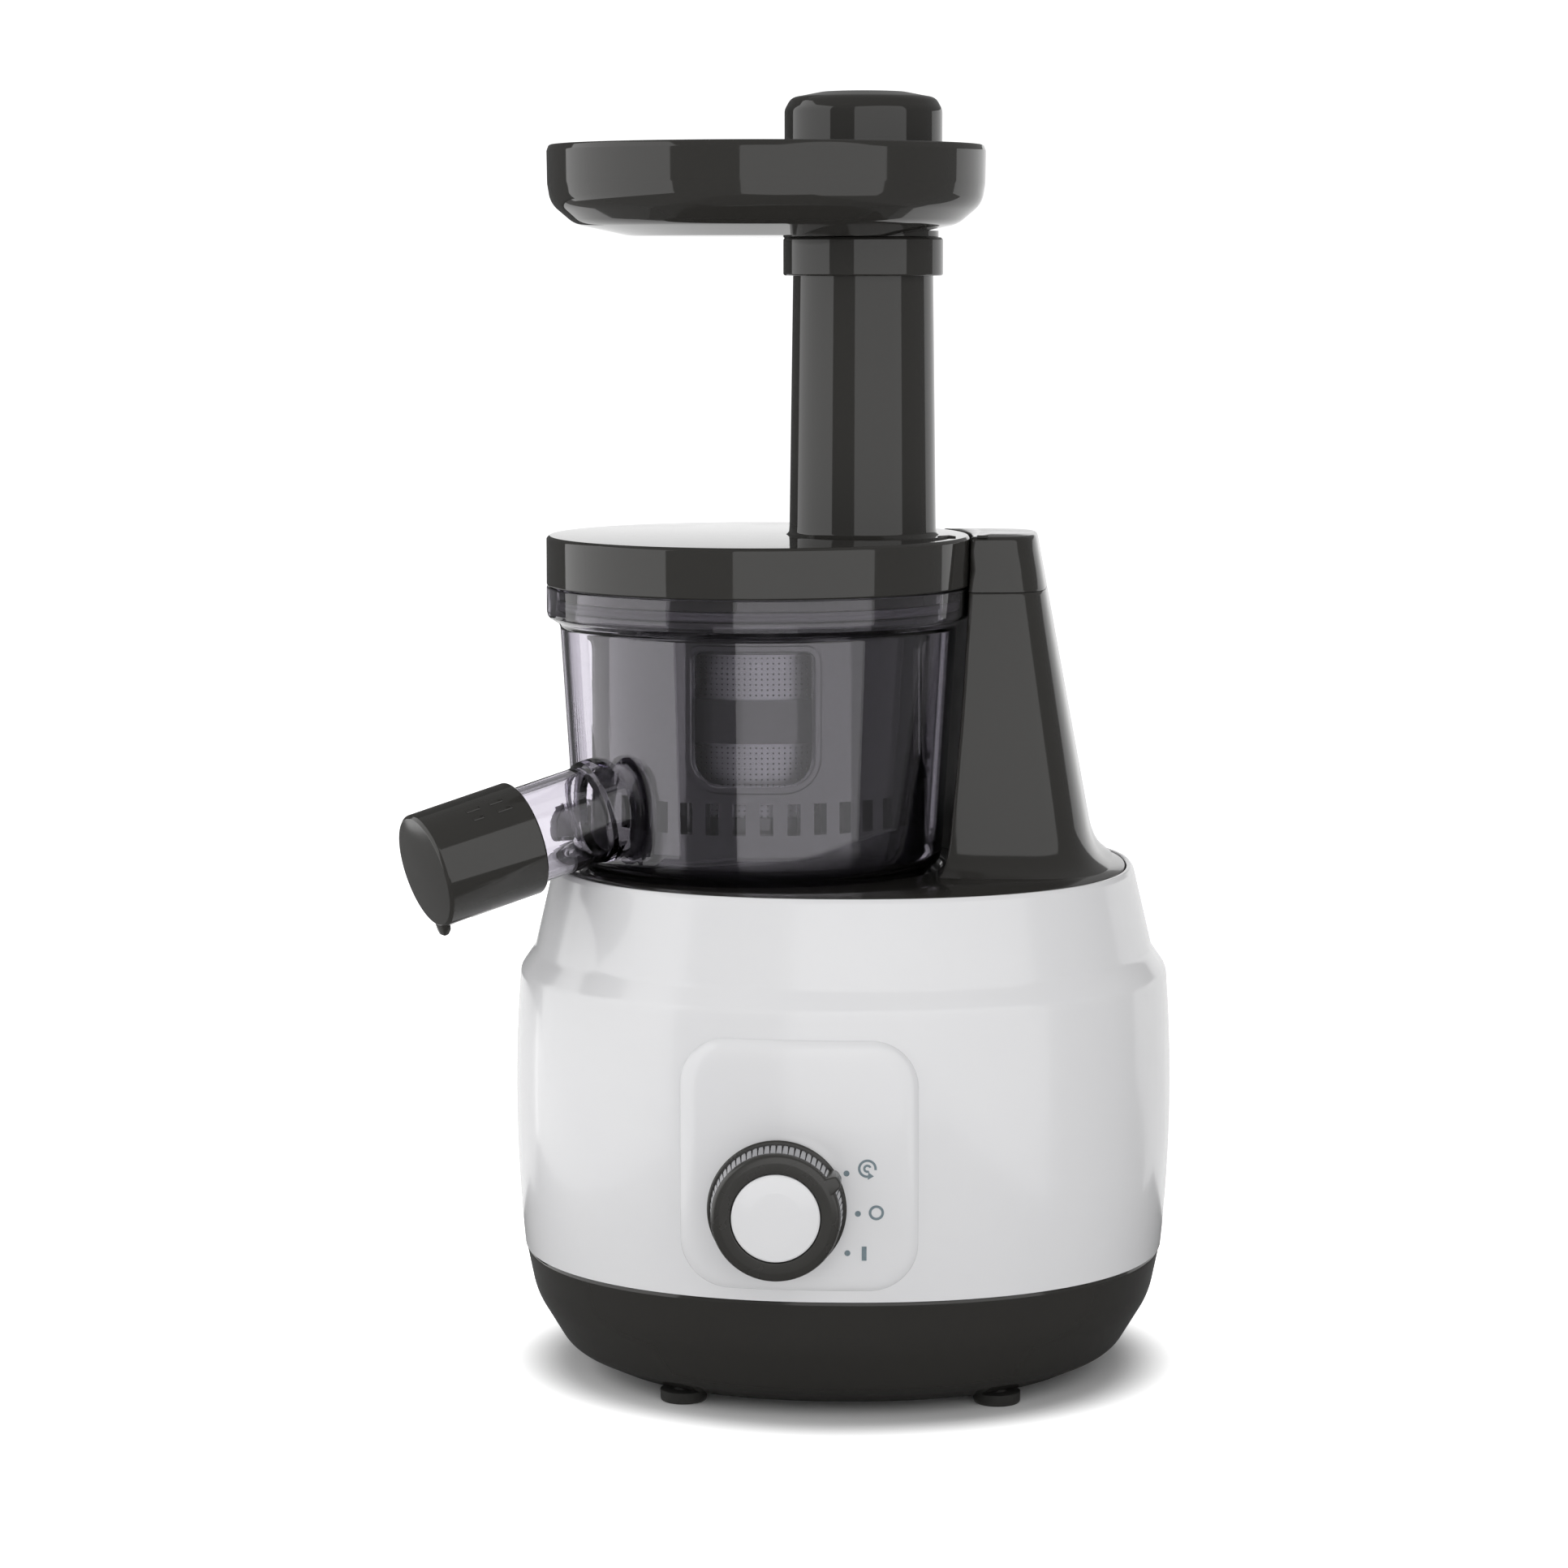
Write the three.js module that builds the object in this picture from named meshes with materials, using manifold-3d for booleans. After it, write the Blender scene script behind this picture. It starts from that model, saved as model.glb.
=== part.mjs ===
import * as THREE from 'three';
import { mergeVertices } from 'three/addons/utils/BufferGeometryUtils.js';
import Module from 'manifold-3d';

// A cold press juicer in millimetres, +Z up, front towards -Y, standing on the plane z = 0.

const wasm = await Module();
wasm.setup();

// Driving dimensions of the whole machine

const bodyHalfWidth = 107.3;
const depthShare = 0.92;
const planPower = 2.2;
const deckHeight = 166;
const bowlStand = 107;
const lidTop = deckHeight + bowlStand;
const overallHeight = 415.7;
const gap = 0.3;
// Joined solids reach into each other by this length
const bite = 1;
const wall = 2.6;
const axisShare = 0.2591;
const axisX = -axisShare * bodyHalfWidth;
const partingShare = 0.2482;
const partingHeight = partingShare * deckHeight;
const pusherStand = 17.3;
const trayRimHeight = overallHeight - pusherStand;
const bigSides = 32;
const midSides = 24;
const smallSides = 12;

// Colours

const white = { color: 0xe9e9ea, roughness: 0.18, metalness: 0 };
const charcoal = { color: 0x3d3c38, roughness: 0.34, metalness: 0 };
const smoky = { color: 0x6d6876, roughness: 0.08, metalness: 0 };
const steel = { color: 0xa9abad, roughness: 0.35, metalness: 1 };
const copper = { color: 0xa06a45, roughness: 0.45, metalness: 1 };
const rubber = { color: 0x232322, roughness: 0.85, metalness: 0 };
const silicone = { color: 0x8d8b90, roughness: 0.6, metalness: 0 };
const boardGreen = { color: 0x2f5a3c, roughness: 0.5, metalness: 0 };
const gearNylon = { color: 0xd9d6c8, roughness: 0.5, metalness: 0 };

const machine = new THREE.Group();

// Solids and cuts

function solidOf(geometry) {
  geometry.deleteAttribute('normal');
  geometry.deleteAttribute('uv');
  const merged = mergeVertices(geometry);
  const vertProperties = new Float32Array(merged.attributes.position.array);
  const triVerts = new Uint32Array(merged.index.array);
  return new wasm.Manifold(new wasm.Mesh({ numProp: 3, vertProperties, triVerts }));
}

function join(...solids) {
  return solids.reduce((all, next) => all.add(next));
}

function cut(body, ...tools) {
  return tools.reduce((rest, tool) => rest.subtract(tool), body);
}

function addPiece(name, solid, look) {
  const mesh = solid.getMesh();
  const geometry = new THREE.BufferGeometry();
  geometry.setAttribute('position', new THREE.BufferAttribute(mesh.vertProperties, 3));
  geometry.setIndex(new THREE.BufferAttribute(mesh.triVerts, 1));
  geometry.computeVertexNormals();
  const piece = new THREE.Mesh(geometry, new THREE.MeshStandardMaterial(look));
  piece.name = name;
  machine.add(piece);
}

function move(geometry, x, y, z) {
  geometry.translate(x, y, z);
  return geometry;
}

// A body of revolution about +Z from [radius, height] pairs
function turned(profile, sides) {
  const points = profile.map(([radius, height]) => new THREE.Vector2(radius, height));
  const geometry = new THREE.LatheGeometry([...points, points[0].clone()], sides);
  geometry.rotateX(Math.PI / 2);
  return geometry;
}

function rod(radius, low, high, sides = smallSides) {
  return turned([[0, low], [radius, low], [radius, high], [0, high]], sides);
}

function tube(inner, outer, low, high, sides = midSides) {
  return turned([[inner, low], [outer, low], [outer, high], [inner, high]], sides);
}

function block(lowX, highX, lowY, highY, lowZ, highZ) {
  const geometry = new THREE.BoxGeometry(highX - lowX, highY - lowY, highZ - lowZ);
  return move(geometry, (lowX + highX) / 2, (lowY + highY) / 2, (lowZ + highZ) / 2);
}

// A closed skin over stacked oval rings, each { x, y, a, b, z, power }
function lofted(rings, sides) {
  const positions = [];
  const index = [];
  for (const ring of rings) {
    for (let side = 0; side < sides; side += 1) {
      const turn = (side / sides) * 2 * Math.PI;
      const reachX = Math.sign(Math.cos(turn)) * Math.abs(Math.cos(turn)) ** (2 / ring.power);
      const reachY = Math.sign(Math.sin(turn)) * Math.abs(Math.sin(turn)) ** (2 / ring.power);
      positions.push(ring.x + ring.a * reachX, ring.y + ring.b * reachY, ring.z);
    }
  }
  for (let level = 0; level + 1 < rings.length; level += 1) {
    for (let side = 0; side < sides; side += 1) {
      const next = (side + 1) % sides;
      const low = level * sides;
      const high = low + sides;
      index.push(low + side, low + next, high + next, low + side, high + next, high + side);
    }
  }
  const bottom = positions.length / 3;
  const last = rings.length - 1;
  positions.push(rings[0].x, rings[0].y, rings[0].z);
  positions.push(rings[last].x, rings[last].y, rings[last].z);
  for (let side = 0; side < sides; side += 1) {
    const next = (side + 1) % sides;
    index.push(bottom, next, side);
    index.push(bottom + 1, last * sides + side, last * sides + next);
  }
  const geometry = new THREE.BufferGeometry();
  geometry.setAttribute('position', new THREE.BufferAttribute(new Float32Array(positions), 3));
  geometry.setIndex(index);
  return geometry;
}

// A toothed disc: teeth stand out from the root circle, or stand in from it for an inner gear
function toothedShape(teeth, root, tip, phase, turns) {
  const shape = new THREE.Shape();
  for (let tooth = 0; tooth < teeth; tooth += 1) {
    turns.forEach((share, corner) => {
      const turn = phase + ((tooth + share) / teeth) * 2 * Math.PI;
      const radius = corner === 0 || corner === turns.length - 1 ? root : tip;
      const point = [radius * Math.cos(turn), radius * Math.sin(turn)];
      if (tooth === 0 && corner === 0) shape.moveTo(...point);
      else shape.lineTo(...point);
    });
  }
  shape.closePath();
  return shape;
}

const gearTurns = [-0.3, -0.16, 0.16, 0.3];
const ribTurns = [-0.4, 0, 0.4];

function toothed(teeth, root, tip, low, high, phase, turns = gearTurns) {
  const shape = toothedShape(teeth, root, tip, phase, turns);
  const geometry = new THREE.ExtrudeGeometry(shape, { depth: high - low, bevelEnabled: false });
  return move(geometry, 0, 0, low);
}

function roundedRectangle(halfWide, halfTall, corner, steps) {
  const shape = new THREE.Shape();
  const centres = [[1, 1], [-1, 1], [-1, -1], [1, -1]];
  centres.forEach(([signX, signY], quarter) => {
    for (let step = 0; step <= steps; step += 1) {
      const turn = (quarter + step / steps) * (Math.PI / 2);
      const x = signX * (halfWide - corner) + corner * Math.cos(turn);
      const y = signY * (halfTall - corner) + corner * Math.sin(turn);
      if (quarter === 0 && step === 0) shape.moveTo(x, y);
      else shape.lineTo(x, y);
    }
  });
  shape.closePath();
  return shape;
}

// Body outline: [share of the deck height, share of the body half width]

const upperShares = [
  [0.25, 0.977], [0.31, 0.987], [0.43, 0.994], [0.53, 1], [0.66, 0.996], [0.798, 0.98],
  [0.822, 0.951], [0.86, 0.934], [0.988, 0.885], [1, 0.876],
];
const upperInnerShares = [[0.25, 0.977], [0.53, 0.994], [0.79, 0.965], [0.86, 0.93], [0.988, 0.885]];
const lowerShares = [
  [0.024, 0.745], [0.036, 0.802], [0.054, 0.848], [0.08, 0.886], [0.12, 0.921], [0.17, 0.951], [0.248, 0.973],
];
const lowerInnerShares = [[0.036, 0.79], [0.07, 0.865], [0.13, 0.921], [0.248, 0.973]];

function outlineRings(shares, grow) {
  return shares.map(([heightShare, widthShare]) => ({
    x: 0,
    y: 0,
    a: widthShare * bodyHalfWidth + grow,
    b: widthShare * bodyHalfWidth * depthShare + grow,
    z: heightShare * deckHeight,
    power: planPower,
  }));
}

function deckRing(halfWidth, height) {
  return { x: 0, y: 0, a: halfWidth, b: halfWidth * depthShare, z: height, power: planPower };
}

function deckPlate(halfWidth, low, high) {
  return lofted([deckRing(halfWidth, low), deckRing(halfWidth, high)], bigSides);
}

// Upper housing: the white shell with the sloping ring round the deck

const ringWall = 1.7;
const deckHalfWidth = upperShares[upperShares.length - 1][1] * bodyHalfWidth - ringWall;
const deckRimDepth = 4.5;
const ledgeDepth = 3.2;
const ledgeWide = 2.1;
const ledgeHalfWidth = deckHalfWidth - ledgeWide;
const deckRimLow = deckHeight - deckRimDepth;
const ledgeLow = deckRimLow - gap - ledgeDepth;
const knobShareX = 0.1761;
const knobX = -knobShareX * bodyHalfWidth;
const knobShare = 0.435;
const knobZ = knobShare * deckHeight;
const shaftHoleRadius = 4.6;
const farOut = 2 * bodyHalfWidth;
const postShareX = 0.5778;
const postShareY = 0.3728;
const postX = postShareX * bodyHalfWidth;
const postY = postShareY * bodyHalfWidth;
const postRadius = 5;
const postSides = 8;
const canDrop = 69;
const canHigh = deckHeight - canDrop;
const postTop = canHigh;
const ribHalf = 1.6;
const ribRise = 8.8;
const ribLow = partingHeight + ribRise;
const screwRadius = 2;
const screwGap = 0.3;
const screwRise = 22.8;
const screwTop = partingHeight + screwRise;

function alongFront(geometry, x, z) {
  geometry.rotateX(Math.PI / 2);
  return move(geometry, x, 0, z);
}

const upperOuter = solidOf(lofted(outlineRings(upperShares, 0), bigSides));
const innerRings = outlineRings(upperInnerShares, -wall);
innerRings[0].z -= 2 * wall;
innerRings[innerRings.length - 1].z = ledgeLow;
let upperHousing = cut(
  upperOuter,
  solidOf(lofted(innerRings, bigSides)),
  solidOf(deckPlate(ledgeHalfWidth, ledgeLow - wall, deckHeight)),
  solidOf(deckPlate(deckHalfWidth, deckRimLow - gap, deckHeight + wall)),
);
for (const sideX of [-1, 1]) {
  for (const sideY of [-1, 1]) {
    const post = solidOf(move(
      rod(postRadius, partingHeight + gap, postTop, postSides), sideX * postX, sideY * postY, 0,
    ));
    const ribFar = sideY * bodyHalfWidth;
    const rib = solidOf(block(
      sideX * postX - ribHalf, sideX * postX + ribHalf,
      Math.min(sideY * postY, ribFar), Math.max(sideY * postY, ribFar), ribLow, postTop,
    ));
    upperHousing = join(upperHousing, post, rib.intersect(upperOuter));
  }
}
for (const sideX of [-1, 1]) {
  for (const sideY of [-1, 1]) {
    const hole = rod(screwRadius + screwGap, 0, screwTop + 1.5 * screwRadius, postSides);
    upperHousing = cut(upperHousing, solidOf(move(hole, sideX * postX, sideY * postY, 0)));
  }
}
upperHousing = cut(upperHousing, solidOf(alongFront(rod(shaftHoleRadius, 0, farOut), knobX, knobZ)));
addPiece('upper_housing', upperHousing, white);

// Base tub: the dark lower housing with feet sockets, screw bosses and air slots

const tubFloor = 2.5;
const tubBottom = lowerShares[0][0] * deckHeight;
const tubTop = partingHeight;
const footShareX = 0.466;
const footShareY = 0.5312;
const footX = footShareX * bodyHalfWidth;
const footY = footShareY * bodyHalfWidth;
const footStem = 3;
const bossRadius = 5;
const headRadius = 3.9;
const headDepth = 2.4;
const slotCount = 6;
const slotHalf = 1.6;
const slotLength = 34;
const slotPitch = 8;
const motorShare = 0.3187;
const motorX = motorShare * bodyHalfWidth;
const glandShareX = 0.3541;
const glandShareZ = 0.1446;
const glandX = glandShareX * bodyHalfWidth;
const glandZ = glandShareZ * deckHeight;
const glandHole = 5.4;

const tubOuter = solidOf(lofted(outlineRings(lowerShares, 0), bigSides));
const tubInnerRings = outlineRings(lowerInnerShares, -wall);
tubInnerRings[0].z = tubBottom + tubFloor;
tubInnerRings[tubInnerRings.length - 1].z += wall;
let tub = cut(tubOuter, solidOf(lofted(tubInnerRings, bigSides)));
for (const sideX of [-1, 1]) {
  for (const sideY of [-1, 1]) {
    const boss = rod(bossRadius, tubBottom, tubTop, postSides);
    const bore = rod(screwRadius + screwGap, 0, deckHeight, postSides);
    const sink = rod(headRadius + 2 * gap, 0, tubBottom + headDepth + gap, postSides);
    const stemHole = rod(footStem + gap, 0, 2 * tubBottom + tubFloor, postSides);
    tub = cut(
      join(tub, solidOf(move(boss, sideX * postX, sideY * postY, 0))),
      solidOf(move(bore, sideX * postX, sideY * postY, 0)),
      solidOf(move(sink, sideX * postX, sideY * postY, 0)),
      solidOf(move(stemHole, sideX * footX, sideY * footY, 0)),
    );
  }
}
for (let slot = 0; slot < slotCount; slot += 1) {
  const y = (slot - (slotCount - 1) / 2) * slotPitch;
  tub = cut(tub, solidOf(block(
    motorX - slotLength / 2, motorX + slotLength / 2, y - slotHalf, y + slotHalf, 0, 2 * tubBottom + tubFloor,
  )));
}
const glandBore = rod(glandHole + gap, 0, farOut);
glandBore.rotateX(-Math.PI / 2);
tub = cut(tub, solidOf(move(glandBore, glandX, 0, glandZ)));
addPiece('base_tub', tub, charcoal);

// Feet: four rubber pads on stems pressed through the tub floor

const footRadius = 7.5;
const footTop = tubBottom - gap;
const stemProud = 2;
const stemTop = tubBottom + tubFloor + stemProud;
for (const [end, sideY] of [['front', -1], ['back', 1]]) {
  for (const [hand, sideX] of [['left', -1], ['right', 1]]) {
    const pad = turned([
      [0, 0], [footRadius, 0], [footRadius, footTop], [footStem, footTop], [footStem, stemTop], [0, stemTop],
    ], smallSides);
    addPiece(`foot_${end}_${hand}`, solidOf(move(pad, sideX * footX, sideY * footY, 0)), rubber);
  }
}

// Base screws: from under the tub up into the posts of the upper housing

for (const [end, sideY] of [['front', -1], ['back', 1]]) {
  for (const [hand, sideX] of [['left', -1], ['right', 1]]) {
    const screw = turned([
      [0, tubBottom + gap], [headRadius, tubBottom + gap], [headRadius, tubBottom + headDepth],
      [screwRadius, tubBottom + headDepth], [screwRadius, screwTop], [0, screwTop],
    ], postSides);
    addPiece(`base_screw_${end}_${hand}`, solidOf(move(screw, sideX * postX, sideY * postY, 0)), steel);
  }
}

// Mains lead gland in the back of the tub

const glandFlange = 8;
const glandShareY = 0.9188;
const glandBack = glandShareY * depthShare * bodyHalfWidth;
const glandFlangeDeep = 3;
const glandTaper = 0.9;
const glandLength = 16;
const glandBoreRadius = 2.6;
const gland = turned([
  [glandBoreRadius, -glandLength / 2], [glandHole, -glandLength / 2], [glandHole, 0],
  [glandFlange, 0], [glandTaper * glandFlange, glandFlangeDeep], [glandBoreRadius, glandFlangeDeep],
], smallSides);
gland.rotateX(-Math.PI / 2);
addPiece('cord_gland', solidOf(move(gland, glandX, glandBack, glandZ)), rubber);

// Top deck with the tower: the dark top of the machine, one moulding

const seatShare = 0.5517;
const seatRadius = seatShare * bodyHalfWidth;
const seatDepth = 4.5;
const seatFloor = deckHeight - seatDepth;
const seatWall = 2.4;
const seatPlate = 3;
const deckPlateDepth = 2.8;
const deckHoleRadius = 12;
const flangeReach = 9.7;
const flangeRadius = seatRadius + flangeReach;
const towerClear = flangeRadius + 2 * gap;
const capTall = 20.2;
const towerSeam = lidTop - capTall;
const towerThick = 22.7;
const towerTopX = axisX + towerClear + towerThick;
const towerTopFront = -11;
const towerTopBack = 36;
const towerRoot = 43.8;
const towerLeft = axisX + towerRoot;
const sideSlope = 0.196;
const frontSlope = 0.225;
const backSlope = 0.12;
const towerPower = 4.2;
const towerWall = 2.5;
const towerSides = 28;
const flare = 6;

function towerRing(height, spread) {
  const drop = lidTop - height;
  const highX = towerTopX + sideSlope * drop + spread;
  const lowY = towerTopFront - frontSlope * drop - spread;
  const highY = towerTopBack + backSlope * drop + spread;
  return {
    x: (highX + towerLeft) / 2,
    y: (lowY + highY) / 2,
    a: (highX - towerLeft) / 2,
    b: (highY - lowY) / 2,
    z: height,
    power: towerPower,
  };
}

function atAxis(geometry) {
  return solidOf(move(geometry, axisX, 0, 0));
}

const flareTop = 11;
const footRise = 2;
const towerFoot = seatFloor + footRise;
const towerOuterRings = [
  towerRing(towerFoot, flare), towerRing(deckHeight, flare), towerRing(deckHeight + flareTop / 4, flare / 2.4),
  towerRing(deckHeight + flareTop / 2, flare / 6), towerRing(deckHeight + flareTop, 0), towerRing(towerSeam, 0),
];
const towerInnerRings = [
  towerRing(seatFloor - seatWall, -towerWall), towerRing(towerSeam + towerWall, -towerWall),
];
const towerOuter = cut(
  solidOf(lofted(towerOuterRings, towerSides)).intersect(solidOf(deckPlate(deckHalfWidth - gap, 0, lidTop))),
  atAxis(rod(towerClear, 0, overallHeight, bigSides)),
);
const towerInner = cut(
  solidOf(lofted(towerInnerRings, towerSides)),
  atAxis(rod(towerClear + towerWall, 0, overallHeight, bigSides)),
);
const deckPlateLow = deckHeight - deckPlateDepth;
let deck = join(
  solidOf(deckPlate(deckHalfWidth - gap, deckRimLow, deckHeight)),
  atAxis(rod(seatRadius + seatWall, seatFloor - seatPlate, deckPlateLow, bigSides)),
  towerOuter,
);
deck = cut(
  deck,
  towerInner,
  atAxis(rod(seatRadius, seatFloor, overallHeight, bigSides)),
  atAxis(rod(deckHoleRadius, 0, overallHeight)),
);
addPiece('top_deck', deck, charcoal);

// Tower cap: the block beside the lid that holds the safety switch

const capRoof = 2.6;
const capRound = 1.2;
const pinY = 8;
const pinDrop = 11;
const pinZ = lidTop - pinDrop;
const pinRadius = 2.2;
const capRings = [towerRing(towerSeam + gap, 0), towerRing(lidTop - capRound, 0), towerRing(lidTop, -capRound)];
const capHollow = [towerRing(towerSeam - wall, -towerWall), towerRing(lidTop - capRoof, -towerWall)];
let towerCap = cut(
  solidOf(lofted(capRings, towerSides)),
  atAxis(rod(towerClear, 0, overallHeight, bigSides)),
  cut(
    solidOf(lofted(capHollow, towerSides)),
    atAxis(rod(towerClear + towerWall, 0, overallHeight, bigSides)),
  ),
);
const pinBore = rod(pinRadius + gap, 0, towerClear / 3);
pinBore.rotateY(Math.PI / 2);
towerCap = cut(towerCap, solidOf(move(pinBore, axisX + towerClear - 2 * towerWall, pinY, pinZ)));
addPiece('tower_cap', towerCap, charcoal);

// Interlock: a spring pin that the lid's rim presses, and its switch

const pinLength = 7;
const pinStart = 0.4;
const interlockPin = rod(pinRadius, 0, pinLength);
interlockPin.rotateY(Math.PI / 2);
const pinX = axisX + towerClear - pinStart;
addPiece('interlock_pin', solidOf(move(interlockPin, pinX, pinY, pinZ)), silicone);
const switchWide = 8;
const switchDeep = 16;
const switchDown = 5;
const pinTravel = 2.5;
const switchX = pinX + pinLength + pinTravel + gap;
addPiece('interlock_switch', solidOf(block(
  switchX, switchX + switchWide, pinY - switchDeep / 2, pinY + switchDeep / 2,
  pinZ - switchDown, lidTop - capRoof - gap,
)), rubber);

// Control panel: a raised rounded square that follows the curve of the housing

const panelShareX = 0.1146;
const panelX = -panelShareX * bodyHalfWidth;
const panelRise = 12.4;
const panelZ = knobZ + panelRise;
const panelHalfWide = 36.9;
const panelHalfTall = 39.3;
const panelCorner = 15;
const panelProud = 2.4;
const panelSteps = 5;
const plinthRadius = 20;
const knobLift = 0.5;
const panelFace = bodyHalfWidth * depthShare + panelProud;
const panelShape = roundedRectangle(panelHalfWide, panelHalfTall, panelCorner, panelSteps);
const panelPrism = new THREE.ExtrudeGeometry(panelShape, { depth: farOut, bevelEnabled: false });
const panelSkin = solidOf(lofted(outlineRings(upperShares, panelProud), bigSides));
const plinth = rod(plinthRadius, 0, panelFace + knobLift - gap, midSides);
addPiece('control_panel', cut(
  join(
    panelSkin.intersect(solidOf(alongFront(panelPrism, panelX, panelZ))),
    solidOf(alongFront(plinth, knobX, knobZ)),
  ),
  solidOf(lofted(outlineRings(upperShares, gap), bigSides)),
  solidOf(alongFront(rod(shaftHoleRadius, 0, farOut), knobX, knobZ)),
), white);

// Knob: ribbed dark ring with a pointer, white centre disc, and the shaft that they turn

const knobFlange = 21;
const knobRadius = 19.1;
const ribTip = 20;
const knobFlangeDeep = 1.8;
const ribDeep = 10.4;
const knobDeep = 14.4;
const knobRound = 1.6;
const discRadius = 13.6;
const discSeat = 11.6;
const discDome = 15.2;
const discFlatShare = 0.6;
const shaftRadius = 3;
const socketDeep = 9;
const ribCount = 36;
const pointerTurn = (31 * Math.PI) / 180;
const pointerReach = 22.6;
const pointerRoot = 17.4;
const pointerHalf = 2;
const pointerLow = 3;
const pointerHigh = 13.6;

function onPanel(geometry, lift) {
  geometry.rotateX(Math.PI / 2);
  return solidOf(move(geometry, knobX, -panelFace - lift, knobZ));
}

const knobProfile = [
  [0, socketDeep], [shaftRadius + gap, socketDeep], [shaftRadius + gap, 0], [knobFlange, 0],
  [knobFlange, knobFlangeDeep], [knobRadius, knobFlangeDeep], [knobRadius, knobDeep - knobRound],
  [knobRadius - knobRound, knobDeep], [discRadius + gap, knobDeep], [discRadius + gap, discSeat], [0, discSeat],
];
const ribbed = cut(
  onPanel(toothed(ribCount, knobRadius + gap, ribTip, knobFlangeDeep / 2, ribDeep, 0, ribTurns), knobLift),
  onPanel(rod(discRadius, 0, knobDeep, midSides), knobLift),
);
const pointer = block(pointerRoot, pointerReach, -pointerHalf, pointerHalf, pointerLow, pointerHigh);
pointer.rotateZ(pointerTurn);
addPiece('knob_ring', join(
  onPanel(turned(knobProfile, midSides), knobLift),
  ribbed,
  onPanel(pointer, knobLift),
), charcoal);
addPiece('knob_disc', onPanel(turned([
  [0, discSeat + gap], [discRadius, discSeat + gap], [discRadius, knobDeep],
  [discFlatShare * discRadius, discDome - gap / 2], [0, discDome],
], midSides), knobLift), white);

const switchBehind = 11.1;
const switchFront = panelFace - switchBehind;
const switchDepth = 18;
const switchHalf = 14;
const shaftTail = 12;
const bushLength = 9;
const shaftFront = panelFace + knobLift + socketDeep - gap;
const shaftBack = switchFront - shaftTail;
addPiece('switch_shaft', solidOf(alongFront(rod(shaftRadius, shaftBack, shaftFront), knobX, knobZ)), steel);
const switchBody = block(
  knobX - switchHalf, knobX + switchHalf, -switchFront, -switchFront + switchDepth,
  knobZ - switchHalf, knobZ + switchHalf,
);
addPiece('rotary_switch', cut(
  join(
    solidOf(switchBody),
    solidOf(alongFront(rod(shaftHoleRadius - gap, switchFront - bite, switchFront + bushLength), knobX, knobZ)),
  ),
  solidOf(alongFront(rod(shaftRadius + gap, shaftBack - gap, farOut), knobX, knobZ)),
), rubber);

const boardBehind = 26;
const boardY = boardBehind - switchFront;
const boardThick = 1.6;
const boardShare = 0.2237;
const boardHalf = boardShare * bodyHalfWidth;
const boardLow = tubBottom + tubFloor + gap;
const boardTall = 37.2;
const boardHigh = boardLow + boardTall;
addPiece('control_board', solidOf(block(
  knobX - boardHalf, knobX + boardHalf, boardY, boardY + boardThick, boardLow, boardHigh,
)), boardGreen);

// Motor: can, end plate, stator, rotor with its shaft and pinion, and the cooling fan

const motorRadius = 34;
const canWall = 1.6;
const canRise = 20;
const canLow = tubBottom + canRise;
const plateDepth = 3;
const motorShaft = 4;
const statorLowShare = 0.1644;
const statorHighShare = 0.8219;
const statorLow = canLow + statorLowShare * (canHigh - canLow);
const statorHigh = canLow + statorHighShare * (canHigh - canLow);
const rotorRadius = 18.8;
const statorBore = 19.5;
const fanRise = 7;
const fanTall = 8;
const fanLow = tubBottom + fanRise;
const fanHigh = fanLow + fanTall;
const shaftLow = fanLow - bite;
const gearboxFloor = canHigh + gap;
const gearboxPlate = 3;
const gearRise = 9;
const gearFace = 9;
const stageGap = 2;
const secondFace = 11;
const gearLow = canHigh + gearRise;
const gearHigh = gearLow + gearFace;
const secondLow = gearHigh + stageGap;
const secondHigh = secondLow + secondFace;
const fanHub = 8;
const fanRadius = 30;
const fanBlades = 9;
const bladeHalf = 1;

function atMotor(geometry) {
  return solidOf(move(geometry, motorX, 0, 0));
}

addPiece('motor_can', atMotor(turned([
  [motorRadius - canWall, canLow], [motorRadius, canLow], [motorRadius, canHigh], [motorShaft + gap, canHigh],
  [motorShaft + gap, canHigh - plateDepth], [motorRadius - canWall, canHigh - plateDepth],
], midSides)), steel);
addPiece('motor_end_plate', atMotor(tube(
  motorShaft + gap, motorRadius - canWall - gap, canLow, canLow + plateDepth,
)), steel);
addPiece('stator', atMotor(tube(statorBore, motorRadius - canWall - gap, statorLow, statorHigh)), copper);

const centreDistance = (motorX - axisX) / 2;
const pinionTeeth = 8;
const wheelTeeth = 32;
const module1 = (2 * centreDistance) / (pinionTeeth + wheelTeeth);
const addendum = 0.75 * module1;
const dedendum = 1.05 * module1;
const pinionPitch = (pinionTeeth * module1) / 2;
const wheelPitch = (wheelTeeth * module1) / 2;

function pinion(low, high, phase) {
  return toothed(pinionTeeth, pinionPitch - dedendum, pinionPitch + addendum, low, high, phase);
}

function wheel(low, high, phase) {
  return toothed(wheelTeeth, wheelPitch - dedendum, wheelPitch + addendum, low, high, phase);
}

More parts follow.
